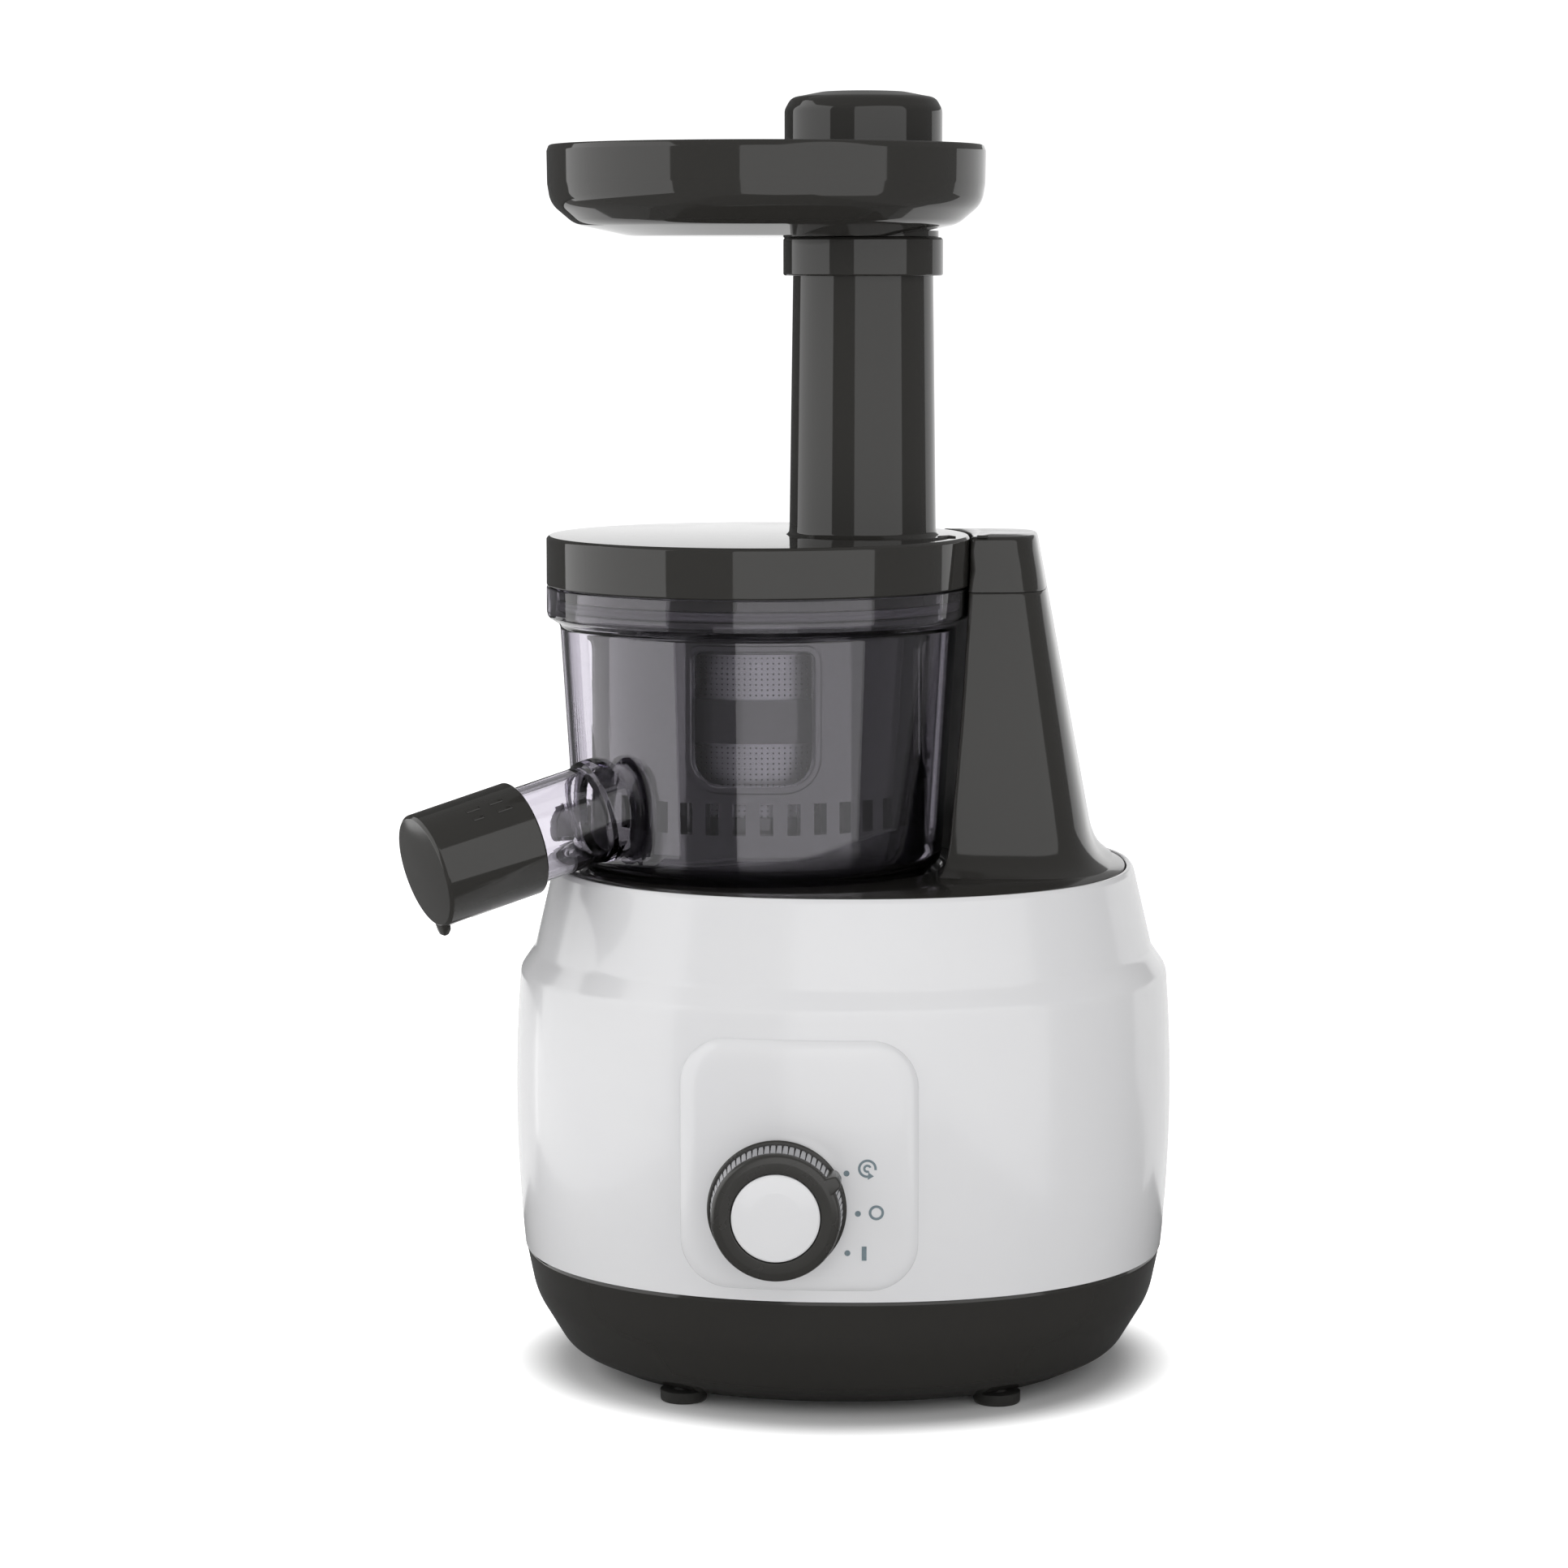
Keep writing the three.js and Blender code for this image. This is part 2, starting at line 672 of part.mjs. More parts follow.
addPiece('rotor', join(
  atMotor(rod(motorShaft, shaftLow, gearHigh + bite)),
  atMotor(rod(rotorRadius, statorLow + wall, statorHigh - wall, midSides)),
  atMotor(pinion(gearLow - bite, gearHigh + bite, 0)),
), steel);
let fan = solidOf(tube(motorShaft + gap, fanHub, fanLow, fanHigh, smallSides));
fan = join(fan, solidOf(tube(fanHub - bite, fanRadius, fanHigh - canWall, fanHigh, midSides)));
for (let blade = 0; blade < fanBlades; blade += 1) {
  const vane = block(fanHub - bite, fanRadius - bite, -bladeHalf, bladeHalf, fanLow, fanHigh - canWall / 2);
  vane.rotateZ((blade / fanBlades) * 2 * Math.PI);
  fan = join(fan, solidOf(vane));
}
addPiece('cooling_fan', fan.translate(motorX, 0, 0), rubber);

// Gearbox: an open tray and a cover round two spur stages

const boxX = (motorX + axisX) / 2;
const wheelRoom = 7;
const cornerRoom = 4;
const boxHalfLong = centreDistance + wheelPitch + wheelRoom;
const boxHalfWide = wheelPitch + wheelRoom;
const boxCorner = wheelPitch + cornerRoom;
const boxWall = 2.4;
const boxRoom = 7;
const boxTop = secondHigh + boxRoom;
const coverDepth = 3;
const stageX = motorX - centreDistance;
const axleRadius = 2.5;
const outputRadius = 5;
const outputReach = 24.5;
const outputTop = seatFloor + outputReach;
const boxSteps = 4;
const plateHalfLong = postX + postRadius;
const plateHalfWide = postY + postRadius;

function boxPrism(inset, low, high) {
  const outline = roundedRectangle(boxHalfLong - inset, boxHalfWide - inset, boxCorner - inset, boxSteps);
  const geometry = new THREE.ExtrudeGeometry(outline, { depth: high - low, bevelEnabled: false });
  return solidOf(move(geometry, boxX, 0, low));
}

let gearboxTray = cut(
  boxPrism(0, gearboxFloor, boxTop),
  boxPrism(boxWall, gearboxFloor + gearboxPlate, boxTop + boxWall),
  atMotor(rod(motorShaft + gap, 0, boxTop)),
);
gearboxTray = join(
  gearboxTray,
  cut(
    solidOf(block(
      -plateHalfLong, plateHalfLong, -plateHalfWide, plateHalfWide, gearboxFloor, gearboxFloor + gearboxPlate,
    )),
    atMotor(rod(motorShaft + gap, 0, boxTop)),
  ),
  solidOf(move(rod(axleRadius, gearboxFloor + bite, boxTop - bite), stageX, 0, 0)),
);
addPiece('gearbox_tray', gearboxTray, steel);
addPiece('gearbox_cover', cut(
  boxPrism(0, boxTop + gap, boxTop + gap + coverDepth),
  atAxis(rod(outputRadius + gap, 0, deckHeight)),
), steel);

const idlerPhase = Math.PI / wheelTeeth;
addPiece('idler_gear', cut(
  join(
    solidOf(move(wheel(gearLow, gearHigh, idlerPhase), stageX, 0, 0)),
    solidOf(move(pinion(gearHigh - bite, secondHigh, 0), stageX, 0, 0)),
  ),
  solidOf(move(rod(axleRadius + gap, 0, boxTop), stageX, 0, 0)),
), gearNylon);
addPiece('output_gear', cut(
  atAxis(wheel(secondLow, secondHigh - bite, idlerPhase)),
  atAxis(rod(outputRadius + gap, 0, deckHeight)),
), gearNylon);
const shaftSides = 6;
const collarRadius = 9;
const shaftCollar = 3;
const journalRadius = 4;
addPiece('output_shaft', join(
  atAxis(rod(journalRadius, gearboxFloor + gearboxPlate + gap, secondLow)),
  atAxis(rod(outputRadius, secondLow - bite, seatFloor)),
  atAxis(rod(outputRadius, seatFloor - bite, outputTop, shaftSides)),
  atAxis(rod(collarRadius, secondHigh, secondHigh + shaftCollar)),
), steel);
addPiece('shaft_seal', atAxis(tube(
  outputRadius + gap, deckHoleRadius - gap, seatFloor - seatPlate, seatFloor - bite, smallSides,
)), rubber);

// Juice bowl: smoky clear, with a rim flange, a centre hub, the juice spout and the pulp outlet

const bowlWall = 2.2;
const bowlBottom = seatFloor + gap;
const bowlFall = 0.7;
const bowlFloor = bowlBottom + bowlWall + bowlFall;
const hubBore = 5.7;
const hubRadius = 9.2;
const hubRise = 12.5;
const flangeDrop = 26;
const flangeTall = 9.6;
const hubTop = seatFloor + hubRise;
const flangeLow = lidTop - flangeDrop;
const flangeTop = flangeLow + flangeTall;
const flangeWall = 2.7;
const flangeInner = flangeRadius - flangeWall;
const bowlTopReach = 5.4;
const bowlLowReach = 1;
const bowlFoot = 7.2;
const bowlTopRadius = seatRadius + bowlTopReach;
const bowlLowRadius = seatRadius + bowlLowReach;
const bowlFlat = seatRadius - bowlFoot;
const bendRise = 11.5;
const bowlBend = seatFloor + bendRise;
const spoutTurn = (208.9 * Math.PI) / 180;
const spoutDrop = (14.6 * Math.PI) / 180;
const spoutShareX = 0.848;
const spoutShareY = 0.5743;
const spoutRootX = spoutShareX * seatRadius;
const spoutRootY = spoutShareY * seatRadius;
const spoutRise = 25;
const spoutRoot = new THREE.Vector3(axisX - spoutRootX, -spoutRootY, seatFloor + spoutRise);
const spoutRadius = 15.8;
const spoutBore = 13.8;
const spoutLength = 50;
const rootCollar = 17.6;
const rootCollarLong = 2.6;
const rootInside = 6;
const pulpTurn = (165 * Math.PI) / 180;
const pulpRise = 15;
const pulpZ = seatFloor + pulpRise;
const pulpRadius = 8.4;
const pulpBore = 6.6;
const pulpInside = 2.2;
const pulpOut = 7.3;
const pulpStart = seatRadius - pulpInside;
const pulpEnd = seatRadius + pulpOut;
const pulpCut = pulpStart - 4 * pulpInside;

function onSpout(geometry) {
  geometry.rotateY(Math.PI / 2 + spoutDrop);
  geometry.rotateZ(spoutTurn);
  return solidOf(move(geometry, spoutRoot.x, spoutRoot.y, spoutRoot.z));
}

function onPulp(geometry) {
  geometry.rotateY(Math.PI / 2);
  geometry.rotateZ(pulpTurn);
  return solidOf(move(geometry, axisX, 0, pulpZ));
}

const bendShares = [[0.537, 0.143], [0.805, 0.411], [0.939, 0.714], [1, 1]];
const flangeFlare = 2.5;
const flangeRound = 1;
const rimSeat = 0.2;
const rimBevel = 1.4;
const floorBend = 3;
const bowlProfile = [
  [hubBore, bowlBottom],
  [bowlFlat, bowlBottom],
  ...bendShares.map(([out, up]) => [
    bowlFlat + out * (bowlLowRadius - bowlFlat), bowlBottom + up * (bowlBend - bowlBottom),
  ]),
  [bowlTopRadius, flangeLow - flangeFlare],
  [flangeRadius - flangeRound / 2, flangeLow],
  [flangeRadius, flangeLow + flangeRound],
  [flangeRadius, flangeTop],
  [flangeInner, flangeTop],
  [flangeInner, flangeLow + rimSeat],
  [bowlTopRadius - bowlWall, flangeLow - rimBevel],
  [bowlLowRadius - bowlWall, bowlBend],
  [bowlLowRadius - bowlWall - rimBevel, bowlFloor + floorBend],
  [bowlFlat, bowlFloor],
  [hubRadius, bowlFloor],
  [hubRadius, hubTop],
  [hubBore, hubTop],
];
const strainerWall = 2.2;
const strainerInset = 13.4;
const strainerOuter = seatRadius - strainerInset;
const strainerInner = strainerOuter - strainerWall;
const brushTurn = (135 * Math.PI) / 180;
const sunTeeth = 11;
const planetTeeth = 9;
const ringTeeth = sunTeeth + 2 * planetTeeth;
const ringPitchShare = 0.9498;
const ringPitch = ringPitchShare * strainerOuter;
const brushModule = (2 * ringPitch) / ringTeeth;
const sunPitch = (sunTeeth * brushModule) / 2;
const planetPitch = (planetTeeth * brushModule) / 2;
const brushCentre = sunPitch + planetPitch;
const addendumShare = 0.7;
const ringAddendumShare = 0.36;
const brushAddendum = addendumShare * brushModule;
const brushDedendum = brushModule;
const ringAddendum = ringAddendumShare * brushModule;
const pegRadius = 3;
const ringGearRise = 10.5;
const ringGearTop = seatFloor + ringGearRise;
const pegTop = ringGearTop - 2 * gap;
const bowlCore = atAxis(rod(bowlLowRadius - bite, bowlBottom, flangeTop, bigSides));
const spoutOutside = cut(
  join(
    onSpout(rod(spoutRadius, -rootInside, spoutLength, midSides)),
    onSpout(rod(rootCollar, -rootInside, rootCollarLong, midSides)),
  ),
  bowlCore,
);
const pegX = brushCentre * Math.cos(brushTurn);
const pegY = brushCentre * Math.sin(brushTurn);
addPiece('juice_bowl', cut(
  join(
    atAxis(turned(bowlProfile, bigSides)),
    spoutOutside,
    onPulp(rod(pulpRadius, pulpStart, pulpEnd, smallSides)),
    atAxis(move(rod(pegRadius, bowlBottom + bite, pegTop), pegX, pegY, 0)),
  ),
  onSpout(rod(spoutBore, -3 * rootInside, 2 * spoutLength, midSides)),
  onPulp(rod(pulpBore, pulpCut, 2 * pulpEnd, smallSides)),
), smoky);

// Spout cap: a turning sleeve that shuts the juice outlet, and the pulp plug

const sleeveStart = 27.6;
const sleeveEnd = 62.5;
const sleeveRadius = 18.5;
const sleeveGap = 0.4;
const sleeveBore = spoutRadius + sleeveGap;
const sleeveFace = 2.4;
const sleeveRound = 1;
const mouthHalf = 7;
const mouthLip = 1.6;
const mouthStart = spoutLength + mouthLip;
const mouthEnd = sleeveEnd - sleeveFace - sleeveGap;
const lugHalf = 3;
const lugReach = 21.6;
const lugDeep = 2.2;
let sleeve = onSpout(turned([
  [0, sleeveEnd - sleeveFace], [sleeveBore, sleeveEnd - sleeveFace], [sleeveBore, sleeveStart],
  [sleeveRadius - sleeveRound, sleeveStart], [sleeveRadius, sleeveStart + sleeveRound],
  [sleeveRadius, sleeveEnd - sleeveRound], [sleeveRadius - sleeveRound, sleeveEnd], [0, sleeveEnd],
], midSides));
sleeve = join(sleeve, onSpout(block(
  sleeveBore + bite, lugReach, -lugHalf, lugHalf, sleeveEnd - lugDeep, sleeveEnd - gap,
)));
sleeve = cut(sleeve, onSpout(block(spoutBore / 2, 2 * lugReach, -mouthHalf, mouthHalf, mouthStart, mouthEnd)));
addPiece('spout_cap', sleeve, charcoal);
const plugStart = pulpStart + bite;
const plugHead = 3;
addPiece('pulp_plug', onPulp(turned([
  [0, plugStart], [pulpBore - gap, plugStart], [pulpBore - gap, pulpEnd + gap],
  [pulpRadius, pulpEnd + gap], [pulpRadius, pulpEnd + plugHead], [0, pulpEnd + plugHead],
], smallSides)), silicone);

// Strainer: a cup with mesh windows that hangs from its rim in the bowl

const strainerRise = 15;
const strainerFloor = seatFloor + strainerRise;
const strainerPlate = 2.5;
const neckGap = 1.1;
const strainerHole = sunPitch - brushDedendum + neckGap;
const strainerLip = 2;
const strainerRim = flangeLow + rimSeat + gap;
const strainerRimTop = strainerRim + strainerLip;
const strainerRimRadius = flangeInner - gap;
const windowRise = 9.5;
const windowDrop = 9;
const bandLowShare = 0.4558;
const bandHighShare = 0.7231;
const windowLow = strainerFloor + windowRise;
const windowHigh = flangeLow - windowDrop;
const windowBandLow = windowLow + bandLowShare * (windowHigh - windowLow);
const windowBandHigh = windowLow + bandHighShare * (windowHigh - windowLow);
const windowCount = 4;
const windowShare = 0.4367;
const windowHalf = windowShare * strainerOuter;
const cutInShare = 0.6;
const cutOutShare = 1.1;
let strainer = atAxis(turned([
  [strainerHole, strainerFloor], [strainerOuter, strainerFloor], [strainerOuter, strainerRim],
  [strainerRimRadius, strainerRim], [strainerRimRadius, strainerRimTop], [strainerInner, strainerRimTop],
  [strainerInner, strainerFloor + strainerPlate], [strainerHole, strainerFloor + strainerPlate],
], bigSides));
for (let pane = 0; pane < windowCount; pane += 1) {
  for (const [low, high] of [[windowLow, windowBandLow], [windowBandHigh, windowHigh]]) {
    const opening = block(
      cutInShare * strainerInner, cutOutShare * strainerOuter, -windowHalf, windowHalf, low, high,
    );
    opening.rotateZ((pane / windowCount) * 2 * Math.PI);
    strainer = cut(strainer, atAxis(opening));
  }
}
addPiece('strainer_frame', strainer, charcoal);
const meshThick = 0.7;
const meshRise = 4;
addPiece('strainer_mesh', atAxis(tube(
  strainerInner - gap - meshThick, strainerInner - gap,
  strainerFloor + strainerPlate + gap, windowHigh + meshRise, bigSides,
)), steel);

// Brush frame: a turning cage with windows, a toothed lower ring and silicone wipers

const brushRoom = 3.8;
const cageInner = strainerOuter + brushRoom;
const cageOuter = cageInner + wall;
const cageLow = bowlFloor + gap;
const cageDrop = 4;
const cageTop = flangeLow - cageDrop;
const cageWindowShare = 0.3521;
const cageRail = 3;
const cageWindowLow = ringGearTop + cageWindowShare * (cageTop - ringGearTop);
const cageWindowHigh = cageTop - cageRail;
const cageWindowHalf = windowShare * strainerOuter - 4 * gap;
const ringBlank = cut(
  atAxis(rod(cageInner + bite, cageLow, ringGearTop, bigSides)),
  atAxis(toothed(ringTeeth, ringPitch - ringAddendum, ringPitch + brushDedendum, 0, flangeLow, brushTurn)),
);
let cage = join(atAxis(tube(cageInner, cageOuter, cageLow, cageTop, bigSides)), ringBlank);
for (let pane = 0; pane < windowCount; pane += 1) {
  const opening = block(
    cutInShare * cageInner, cutOutShare * cageOuter, -cageWindowHalf, cageWindowHalf,
    cageWindowLow, cageWindowHigh,
  );
  opening.rotateZ((pane / windowCount) * 2 * Math.PI);
  cage = cut(cage, atAxis(opening));
}
addPiece('brush_cage', cage, smoky);
const wiperHalf = 1.6;
const wiperRise = 3.5;
const wiperLow = strainerFloor + wiperRise;
const wiperHigh = cageTop - cageRail;
for (let blade = 0; blade < windowCount; blade += 1) {
  const wiper = block(strainerOuter + gap, cageInner - gap, -wiperHalf, wiperHalf, wiperLow, wiperHigh);
  wiper.rotateZ(((blade + 0.5) / windowCount) * 2 * Math.PI);
  addPiece(`brush_wiper_${blade + 1}`, atAxis(wiper), silicone);
}
const planetRoot = planetPitch - brushDedendum;
const planetTip = planetPitch + brushAddendum;
addPiece('brush_pinion', cut(
  atAxis(move(toothed(planetTeeth, planetRoot, planetTip, cageLow, ringGearTop, brushTurn), pegX, pegY, 0)),
  atAxis(move(rod(pegRadius + gap, 0, flangeLow), pegX, pegY, 0)),
), gearNylon);

// Auger: a screw on a widening core, with the brush drive gear below and a pin above

const augerRise = 4.5;
const augerDrop = 2;
const augerLow = strainerFloor + augerRise;
const augerHigh = flangeLow - augerDrop;
const flightGap = 1.8;
const flightRadius = strainerInner - flightGap;
const coreLowShare = 0.7895;
const coreHighShare = 0.3589;
const coreLow = coreLowShare * flightRadius;
const coreHigh = coreHighShare * flightRadius;
const flightTurns = 1.4;
const flightCount = 2;
const flightWidth = 0.16;
const augerLevels = 10;
const augerSides = 24;
const neckRadius = sunPitch - brushDedendum;
const coreCurve = 0.8;
const flankSharpness = 1.5;
const topPinLong = 11;
const pinTop = augerHigh + topPinLong;
const topPin = 4;

function screwSkin() {
  const rings = [];
  for (let level = 0; level <= augerLevels; level += 1) {
    const rise = level / augerLevels;
    const core = coreLow + (coreHigh - coreLow) * rise ** coreCurve;
    const ring = [];
    for (let side = 0; side < augerSides; side += 1) {
      const share = side / augerSides - flightTurns * rise;
      const wave = share * flightCount - Math.round(share * flightCount);
      const swell = Math.max(0, 1 - Math.abs(wave) / (2 * flightWidth));
      ring.push(core + (flightRadius - core) * Math.min(1, flankSharpness * swell));
    }
    rings.push({ z: augerLow + (augerHigh - augerLow) * rise, ring });
  }
  const positions = [];
  const index = [];
  for (const { z, ring } of rings) {
    ring.forEach((radius, side) => {
      const turn = (side / augerSides) * 2 * Math.PI;
      positions.push(radius * Math.cos(turn), radius * Math.sin(turn), z);
    });
  }
  for (let level = 0; level < augerLevels; level += 1) {
    for (let side = 0; side < augerSides; side += 1) {
      const next = (side + 1) % augerSides;
      const low = level * augerSides;
      const high = low + augerSides;
      index.push(low + side, low + next, high + next, low + side, high + next, high + side);
    }
  }
  const bottom = positions.length / 3;
  positions.push(0, 0, augerLow, 0, 0, augerHigh);
  for (let side = 0; side < augerSides; side += 1) {
    const next = (side + 1) % augerSides;
    index.push(bottom, next, side);
    index.push(bottom + 1, augerLevels * augerSides + side, augerLevels * augerSides + next);
  }
  const geometry = new THREE.BufferGeometry();
  geometry.setAttribute('position', new THREE.BufferAttribute(new Float32Array(positions), 3));
  geometry.setIndex(index);
  return geometry;
}

const sunRoot = sunPitch - brushDedendum;
const sunTip = sunPitch + brushAddendum;
const hubGap = 0.4;
addPiece('auger', cut(
  join(
    atAxis(screwSkin()),
    atAxis(rod(neckRadius, ringGearTop - bite, augerLow + bite, midSides)),
    atAxis(toothed(sunTeeth, sunRoot, sunTip, cageLow, ringGearTop, brushTurn)),
    atAxis(rod(topPin, augerHigh - bite, pinTop)),
  ),
  atAxis(rod(hubRadius + hubGap, 0, hubTop + gap, smallSides)),
  atAxis(rod(outputRadius + gap, 0, outputTop + gap, smallSides)),
), charcoal);

// Lid with the feed chute, and its gasket

const lidRadius = flangeRadius;
const lidPlate = 3;
const skirtLow = flangeTop + gap;
const plugGap = 0.5;
const plugWall = 3.4;
const skirtInner = flangeInner + gap;
const plugOuter = flangeInner - plugGap;
const plugInner = plugOuter - plugWall;
const gasketLow = strainerRimTop + gap;
const gasketTall = 2.8;
const gasketTop = gasketLow + gasketTall;
const plugLow = gasketTop + gap;
const chuteShareX = 0.5709;
const chuteX = axisX + chuteShareX * seatRadius;
const chuteY = 4;
const chuteLowRadius = 23.9;
const chuteHighRadius = 22.6;
const trayDeep = 29.8;
const trayBottom = trayRimHeight - trayDeep;
const chuteShort = 1.6;
const chuteTop = trayBottom - chuteShort;
const chuteBore = 20;
const bossOuter = 8;
const bossClear = 1.5;
const bossLow = strainerRimTop + bossClear;
const feedInset = 1.2;
const feedCircle = strainerInner - feedInset;
const lidRound = 1;
const skirtStep = 2;
const skirtRoof = lidTop - lidPlate - skirtStep;
const chuteFillet = 1.6;
const chuteRoot = lidTop - lidPlate + bite;

function atChute(geometry) {
  return solidOf(move(geometry, chuteX, chuteY, 0));
}

const lidShell = atAxis(turned([
  [0, bossLow], [bossOuter, bossLow], [bossOuter, lidTop - lidPlate], [plugInner, lidTop - lidPlate],
  [plugInner, plugLow], [plugOuter, plugLow], [plugOuter, skirtRoof], [skirtInner, skirtRoof],
  [skirtInner, skirtLow], [lidRadius, skirtLow], [lidRadius, lidTop - lidRound], [lidRadius - lidRound, lidTop],
  [0, lidTop],
], bigSides));
const chuteWall = atChute(turned([
  [0, chuteRoot], [chuteLowRadius + chuteFillet, chuteRoot], [chuteLowRadius + chuteFillet, lidTop - gap],
  [chuteLowRadius, lidTop + chuteFillet], [chuteHighRadius, chuteTop], [0, chuteTop],
], midSides));
const feedHole = atChute(rod(chuteBore, bossLow, lidTop, midSides));
const chuteSpace = join(
  atChute(rod(chuteBore, lidTop - gap, chuteTop + wall, midSides)),
  feedHole.intersect(atAxis(rod(feedCircle, 0, overallHeight, bigSides))),
);
addPiece('lid', cut(
  join(lidShell, chuteWall),
  chuteSpace,
  atAxis(rod(topPin + gap, 0, pinTop + gap)),
), charcoal);
addPiece('lid_gasket', atAxis(tube(plugInner, plugOuter, gasketLow, gasketTop, bigSides)), silicone);

// Feed tray: a deep dish with a neck and a collar that slips over the chute

const trayOffset = 2.6;
const trayX = axisX + trayOffset;
const trayReach = 1.8;
const trayRadius = lidRadius + trayReach;
const trayWall = 2.4;
const trayFloor = trayBottom + trayWall;
const collarDrop = 12;
const collarRise = 0.4;
const collarLow = trayBottom - collarDrop;
const collarTop = trayBottom + collarRise;
const collarOuter = 25.9;
const collarGap = 0.5;
const collarInner = chuteHighRadius + collarGap;
const neckOuter = 24.4;
const trayOuterShares = [
  [0.622, 0.02], [0.901, 0.168], [0.952, 0.235], [0.986, 0.315],
  [0.997, 0.45], [1, 0.866], [0.992, 0.96], [0.975, 1],
];
const trayInnerShares = [
  [0.966, 0.966], [0.96, 0.483], [0.91, 0.322], [0.83, 0.161], [0.622, 0.094],
];

function atTray(geometry) {
  return solidOf(move(geometry, trayX, 0, 0));
}

const trayCurve = [...trayOuterShares, ...trayInnerShares].map(([out, up]) => [
  out * trayRadius, trayBottom + up * trayDeep,
]);
addPiece('feed_tray', cut(
  join(
    atTray(turned([[0, trayBottom], ...trayCurve, [0, trayFloor]], bigSides)),
    atChute(rod(neckOuter, collarTop - bite, trayFloor, midSides)),
    atChute(rod(collarOuter, collarLow, collarTop, midSides)),
  ),
  atChute(rod(chuteBore, chuteTop, trayRimHeight, midSides)),
  atChute(rod(collarInner, 0, chuteTop + gap, midSides)),
), charcoal);

// Pusher: a hollow plunger with a tall round head that stands on the tray floor

const pusherGap = 0.4;
const pusherRadius = chuteBore - pusherGap;
const pusherRise = 11;
const pusherLow = lidTop + pusherRise;
const pusherWall = 2.2;
const headOuter = 25.5;
const headStand = 3;
const headLow = trayFloor + headStand;
const headInner = pusherRadius + gap;
const headRoof = 10.7;
const headInnerTop = overallHeight - headRoof;
const headCrown = 5.6;
const crownShares = [[1, 1], [0.937, 0.518], [0.804, 0.214], [0.49, 0.054]];
const headCurve = crownShares.map(([out, down]) => [out * headOuter, overallHeight - down * headCrown]);
addPiece('pusher_shaft', atChute(turned([
  [0, pusherLow], [pusherRadius - bite, pusherLow], [pusherRadius, pusherLow + bite],
  [pusherRadius, headInnerTop - gap], [pusherRadius - pusherWall, headInnerTop - gap],
  [pusherRadius - pusherWall, pusherLow + pusherWall], [0, pusherLow + pusherWall],
], midSides)), charcoal);
addPiece('pusher_head', atChute(turned([
  [headInner, headLow], [headOuter, headLow], ...headCurve, [0, overallHeight],
  [0, headInnerTop], [headInner, headInnerTop],
], midSides)), charcoal);

// The origin sits under the middle of the machine's outer box

const reach = new THREE.Box3().setFromObject(machine);
machine.position.set(-(reach.min.x + reach.max.x) / 2, -(reach.min.y + reach.max.y) / 2, -reach.min.z);
machine.updateMatrixWorld(true);

export default machine;
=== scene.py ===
import math

import bmesh
import bpy
import numpy as np
from mathutils import Matrix, Vector


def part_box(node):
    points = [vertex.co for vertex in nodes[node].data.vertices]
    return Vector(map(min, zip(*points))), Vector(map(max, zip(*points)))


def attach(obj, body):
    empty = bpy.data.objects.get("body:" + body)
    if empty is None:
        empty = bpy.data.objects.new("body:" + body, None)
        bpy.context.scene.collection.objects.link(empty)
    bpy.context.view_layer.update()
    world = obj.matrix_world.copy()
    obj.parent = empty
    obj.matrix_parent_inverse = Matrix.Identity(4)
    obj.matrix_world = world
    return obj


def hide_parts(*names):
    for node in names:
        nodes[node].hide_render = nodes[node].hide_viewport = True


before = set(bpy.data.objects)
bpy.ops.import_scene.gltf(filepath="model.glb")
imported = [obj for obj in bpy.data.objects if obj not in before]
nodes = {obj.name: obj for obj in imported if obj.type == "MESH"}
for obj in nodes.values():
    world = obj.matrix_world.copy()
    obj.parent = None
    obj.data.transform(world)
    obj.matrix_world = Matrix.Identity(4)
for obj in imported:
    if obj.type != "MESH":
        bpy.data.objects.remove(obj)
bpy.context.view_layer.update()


# Upper housing
# The white shell of the machine: gloss ABS, injection moulded, oval in plan, with a sloping ring
# that narrows to the deck. Four long screws from below hold it on the base tub.
mm = 0.001
plan_power = 2.2
depth_share = 0.92


def middle(node):
    low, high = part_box(node)
    return (low + high) / 2


def top_of(node):
    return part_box(node)[1].z


def bottom_of(node):
    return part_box(node)[0].z


body_centre = middle("upper_housing")
body_centre.z = 0


def linear(hex_colour):
    """An sRGB hex colour as linear RGBA."""
    channels = [int(hex_colour[i:i + 2], 16) / 255 for i in (1, 3, 5)]
    return tuple(c / 12.92 if c <= 0.04045 else ((c + 0.055) / 1.055) ** 2.4 for c in channels) + (1.0,)


def rounded(corners, steps=6):
    """A smooth run of points through [x, z, radius] corners, each corner turned into an arc."""
    points = []
    for i, (x, z, radius) in enumerate(corners):
        if radius <= 0 or i in (0, len(corners) - 1):
            points.append((x, z))
            continue
        here = Vector((x, z))
        back = Vector(corners[i - 1][:2]) - here
        ahead = Vector(corners[i + 1][:2]) - here
        half = back.angle(ahead) / 2
        reach = min(radius / math.tan(half), back.length * 0.48, ahead.length * 0.48)
        start = here + back.normalized() * reach
        end = here + ahead.normalized() * reach
        for step in range(steps + 1):
            t = step / steps
            point = (1 - t) ** 2 * start + 2 * t * (1 - t) * here + t ** 2 * end
            points.append(tuple(point))
    return points


